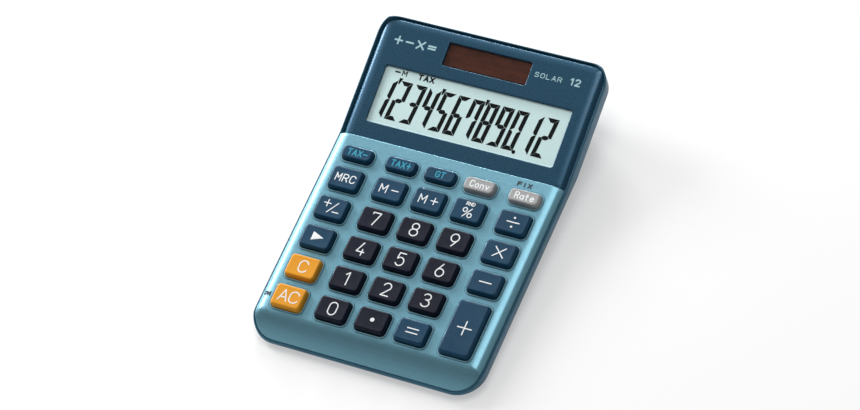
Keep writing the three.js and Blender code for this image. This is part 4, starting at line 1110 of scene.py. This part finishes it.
def opening_lips():
    """A raised bead round every key opening, coloured paler than the plate as a painted highlight."""
    lips = Growth("opening_lips", Width=0.018, Height=0.014, Corner=0.003, Bead=0.0003)
    sides = {"Width": lips.given["Width"], "Height": lips.given["Height"]}
    outline = lips.add("CurvePrimitiveQuadrilateral", sides, mode="RECTANGLE")
    corners = {"Curve": outline, "Count": 6, "Radius": lips.given["Corner"], "Limit Radius": True}
    softened = lips.add("FilletCurve", corners, mode="POLY")
    circle = {"Resolution": 10, "Radius": lips.given["Bead"]}
    section = lips.add("CurvePrimitiveCircle", circle, mode="RADIUS")
    bead = lips.add("CurveToMesh", {"Curve": softened, "Profile Curve": section})
    # The beads take the paler teal, a painted highlight on the lip edges.
    lips.repeated(bead, (SLOPE, 0, 0), LIP_HIGHLIGHT_TEAL)
    kinds = {}
    for name, (_, _, w, h) in KEYS.items():
        kinds.setdefault((round(w, 1), round(h, 1)), []).append(name)
    for names in kinds.values():
        _, _, wide, high = KEYS[names[0]]
        places = [keypad_point(KEYS[n][0], KEYS[n][1], LIP_RISE - LIP / 2) for n in names]
        made = lips.grow(
            f"opening_lips_{names[0]}", places, Width=(wide + LIP) * MM, Height=(high + LIP) * MM,
            Corner=(key_corner(high) + KEY_SLIP + LIP / 2) * MM, Bead=LIP / 2 * MM)
        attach(made, "case")


opening_lips()


def case_screws():
    """The six case screws, each with a cross recess in its head."""
    names = [f"case_screw_{row}_{side}" for row in ("front", "middle", "rear") for side in ("left", "right")]
    low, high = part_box(names[0])
    head, length, radius = 1.3 * MM, high.z - low.z, (high.x - low.x) / 2
    slot_length, slot_width, slot_depth = 2.5 * MM, 0.5 * MM, 0.6 * MM
    screws = Growth("case_screws", Radius=radius, Shank=1.1 * MM)
    cap = screws.add("MeshCylinder", {"Vertices": 40, "Radius": screws.given["Radius"], "Depth": head})
    cap = screws.add("Transform", {"Geometry": cap, "Translation": (0, 0, head / 2)})
    shank = {"Vertices": 24, "Radius": screws.given["Shank"], "Depth": length - head / 2}
    stem = screws.add("MeshCylinder", shank)
    stem = screws.add("Transform", {"Geometry": stem, "Translation": (0, 0, (length + head / 2) / 2)})
    bar = screws.add("MeshCube", {"Size": (slot_length, slot_width, 2 * slot_depth)})
    other = screws.add("MeshCube", {"Size": (slot_width, slot_length, 2 * slot_depth)})
    solid = screws.tree.nodes.new("GeometryNodeMeshBoolean")
    solid.operation = "UNION"
    solid.solver = "EXACT"
    for part in (stem, cap):
        screws.tree.links.new(part, solid.inputs["Mesh"])
    cut = screws.tree.nodes.new("GeometryNodeMeshBoolean")
    cut.operation = "DIFFERENCE"
    cut.solver = "EXACT"
    screws.tree.links.new(solid.outputs[0], cut.inputs["Mesh 1"])
    for part in (other, bar):
        screws.tree.links.new(part, cut.inputs["Mesh 2"])
    screws.repeated(cut.outputs[0], (0, 0, 0), STEEL)
    places = []
    for name in names:
        a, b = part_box(name)
        places.append(Vector(((a.x + b.x) / 2, (a.y + b.y) / 2, a.z)))
    made = screws.grow("case_screws", places)
    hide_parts(*names)
    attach(made, "case")


case_screws()


def rubber_foot(name):
    """A round foot with a softened edge and a shallow ring pressed into its face."""
    low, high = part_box(name)
    x, y, r = (low.x + high.x) / 2, (low.y + high.y) / 2, (high.x - low.x) / 2
    top = high.z
    profile = [
        (0.12, 0.0003), (0.5, 0.0003), (0.56, 0.0), (0.86, 0.0), (0.93, 0.00008), (0.98, 0.0003),
        (1.0, 0.0006),
        (1.0, top), (0.5, top), (0.12, top),
    ]
    rings = []
    for share, z in profile:
        rings.append([Vector((a, b, z)) for a, b in arc(x, y, r * share, r * share, 0, 354.375, 63)])
    made = lofted("rubber_" + name, rings, RUBBER)
    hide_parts(name)
    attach(made, "case")


for row in ("front", "rear"):
    for side in ("left", "right"):
        rubber_foot(f"foot_{row}_{side}")

# ---- Camera, light and floor ----------------------------------------------------------------------

CAMERA_PLACE = (758.8, -717.2, 1546.0)   # in the keypad's plane, from the middle of the junction line
CAMERA_TARGET = (0.7, -26.59, 0.0)
CAMERA_ROLL = math.radians(-27.64)
CAMERA_LENS = 159.91


def camera():
    place, target = keypad_point(*CAMERA_PLACE), keypad_point(*CAMERA_TARGET)
    up = keypad_point(0, 0, 1) - keypad_point(0, 0, 0)
    forward = (target - place).normalized()
    level_right = forward.cross(up).normalized()
    level_up = level_right.cross(forward)
    right = math.cos(CAMERA_ROLL) * level_right + math.sin(CAMERA_ROLL) * level_up
    rise = right.cross(forward)
    data = bpy.data.cameras.new("camera")
    data.lens = CAMERA_LENS
    data.sensor_width = 36
    data.clip_end = 50
    made = bpy.data.objects.new("camera", data)
    made.matrix_world = Matrix((
        (right.x, rise.x, -forward.x, place.x),
        (right.y, rise.y, -forward.y, place.y),
        (right.z, rise.z, -forward.z, place.z),
        (0, 0, 0, 1)))
    bpy.context.scene.collection.objects.link(made)
    bpy.context.scene.camera = made


def soft_light(name, place, target, size, power):
    data = bpy.data.lights.new(name, "AREA")
    data.shape = "DISK"
    data.size = size
    data.energy = power
    made = bpy.data.objects.new(name, data)
    made.location = place
    made.rotation_mode = "QUATERNION"
    made.rotation_quaternion = (Vector(target) - Vector(place)).to_track_quat("-Z", "Y")
    bpy.context.scene.collection.objects.link(made)


SKY_SIDE = Vector((-0.94, 0.33, 0.0))   # where the studio's walls are brightest


def soft_sky():
    """A pale room, brighter on one side and dimmer on the other."""
    world = bpy.data.worlds.new("studio")
    world.use_nodes = True
    nodes, links = world.node_tree.nodes, world.node_tree.links
    where = nodes.new("ShaderNodeTexCoord").outputs["Generated"]
    towards = nodes.new("ShaderNodeVectorMath")
    towards.operation = "DOT_PRODUCT"
    links.new(where, towards.inputs[0])
    towards.inputs[1].default_value = SKY_SIDE
    bright = nodes.new("ShaderNodeMapRange")
    bright.inputs["From Min"].default_value = 0.1
    bright.inputs["From Max"].default_value = 1.0
    bright.inputs["To Min"].default_value = 0.16
    bright.inputs["To Max"].default_value = 1.0
    links.new(towards.outputs["Value"], bright.inputs["Value"])
    background = nodes["Background"]
    background.inputs["Color"].default_value = (1, 1, 1, 1)
    links.new(bright.outputs["Result"], background.inputs["Strength"])
    bpy.context.scene.world = world


def studio():
    soft_sky()
    bpy.context.scene.view_settings.view_transform = "Standard"
    middle = (0, 0, 0.015)
    soft_light("key_light", (-0.98, 0.4, 0.46), middle, 0.45, 9)
    soft_light("rear_light", (-0.5, 0.98, 0.5), middle, 0.4, 7)
    soft_light("top_light", (0.1, 0.45, 1.55), middle, 0.9, 8)
    floor = bpy.data.meshes.new("floor")
    side = 6.0
    corners = [(-side, -side, 0), (side, -side, 0), (side, side, 0), (-side, side, 0)]
    floor.from_pydata(corners, [], [(0, 1, 2, 3)])
    paint = Finish("pale_floor", (0.6, 0.6, 0.6, 1), 0.9, specular=0.1)
    paint.tint(paint.noise(3), (0.59, 0.59, 0.59, 1), (0.61, 0.61, 0.61, 1))
    paint.set("Emission Color", (1, 1, 1, 1))
    paint.set("Emission Strength", 0.42)
    floor.materials.append(paint.material)
    made = bpy.data.objects.new("floor", floor)
    bpy.context.scene.collection.objects.link(made)


camera()
studio()

# ---- Pieces carried over from the frame -----------------------------------------------------------

CARRIED = {
    "lower_case": TRAY_BLUE, "display_window": WINDOW, "solar_window": WINDOW,
    "solar_cell": SOLAR, "lcd_module": LCD_PALE, "lcd_backing": WHITE_PLASTIC, "lcd_ribbon": AMBER,
    "circuit_board": BOARD, "processor_chip": RESIN, "smoothing_capacitor": RESIN, "key_mat": SILICONE,
    "solar_lead_positive": WIRE_RED, "solar_lead_negative": WIRE_BLACK, "battery_cell": STEEL,
    "battery_contact_positive": STEEL, "battery_contact_negative": STEEL, "battery_cover": TRAY_BLUE,
    "battery_cover_screw": STEEL,
}
for node, material in CARRIED.items():
    mesh = frame["nodes"][node].data
    mesh.materials.clear()
    mesh.materials.append(material)
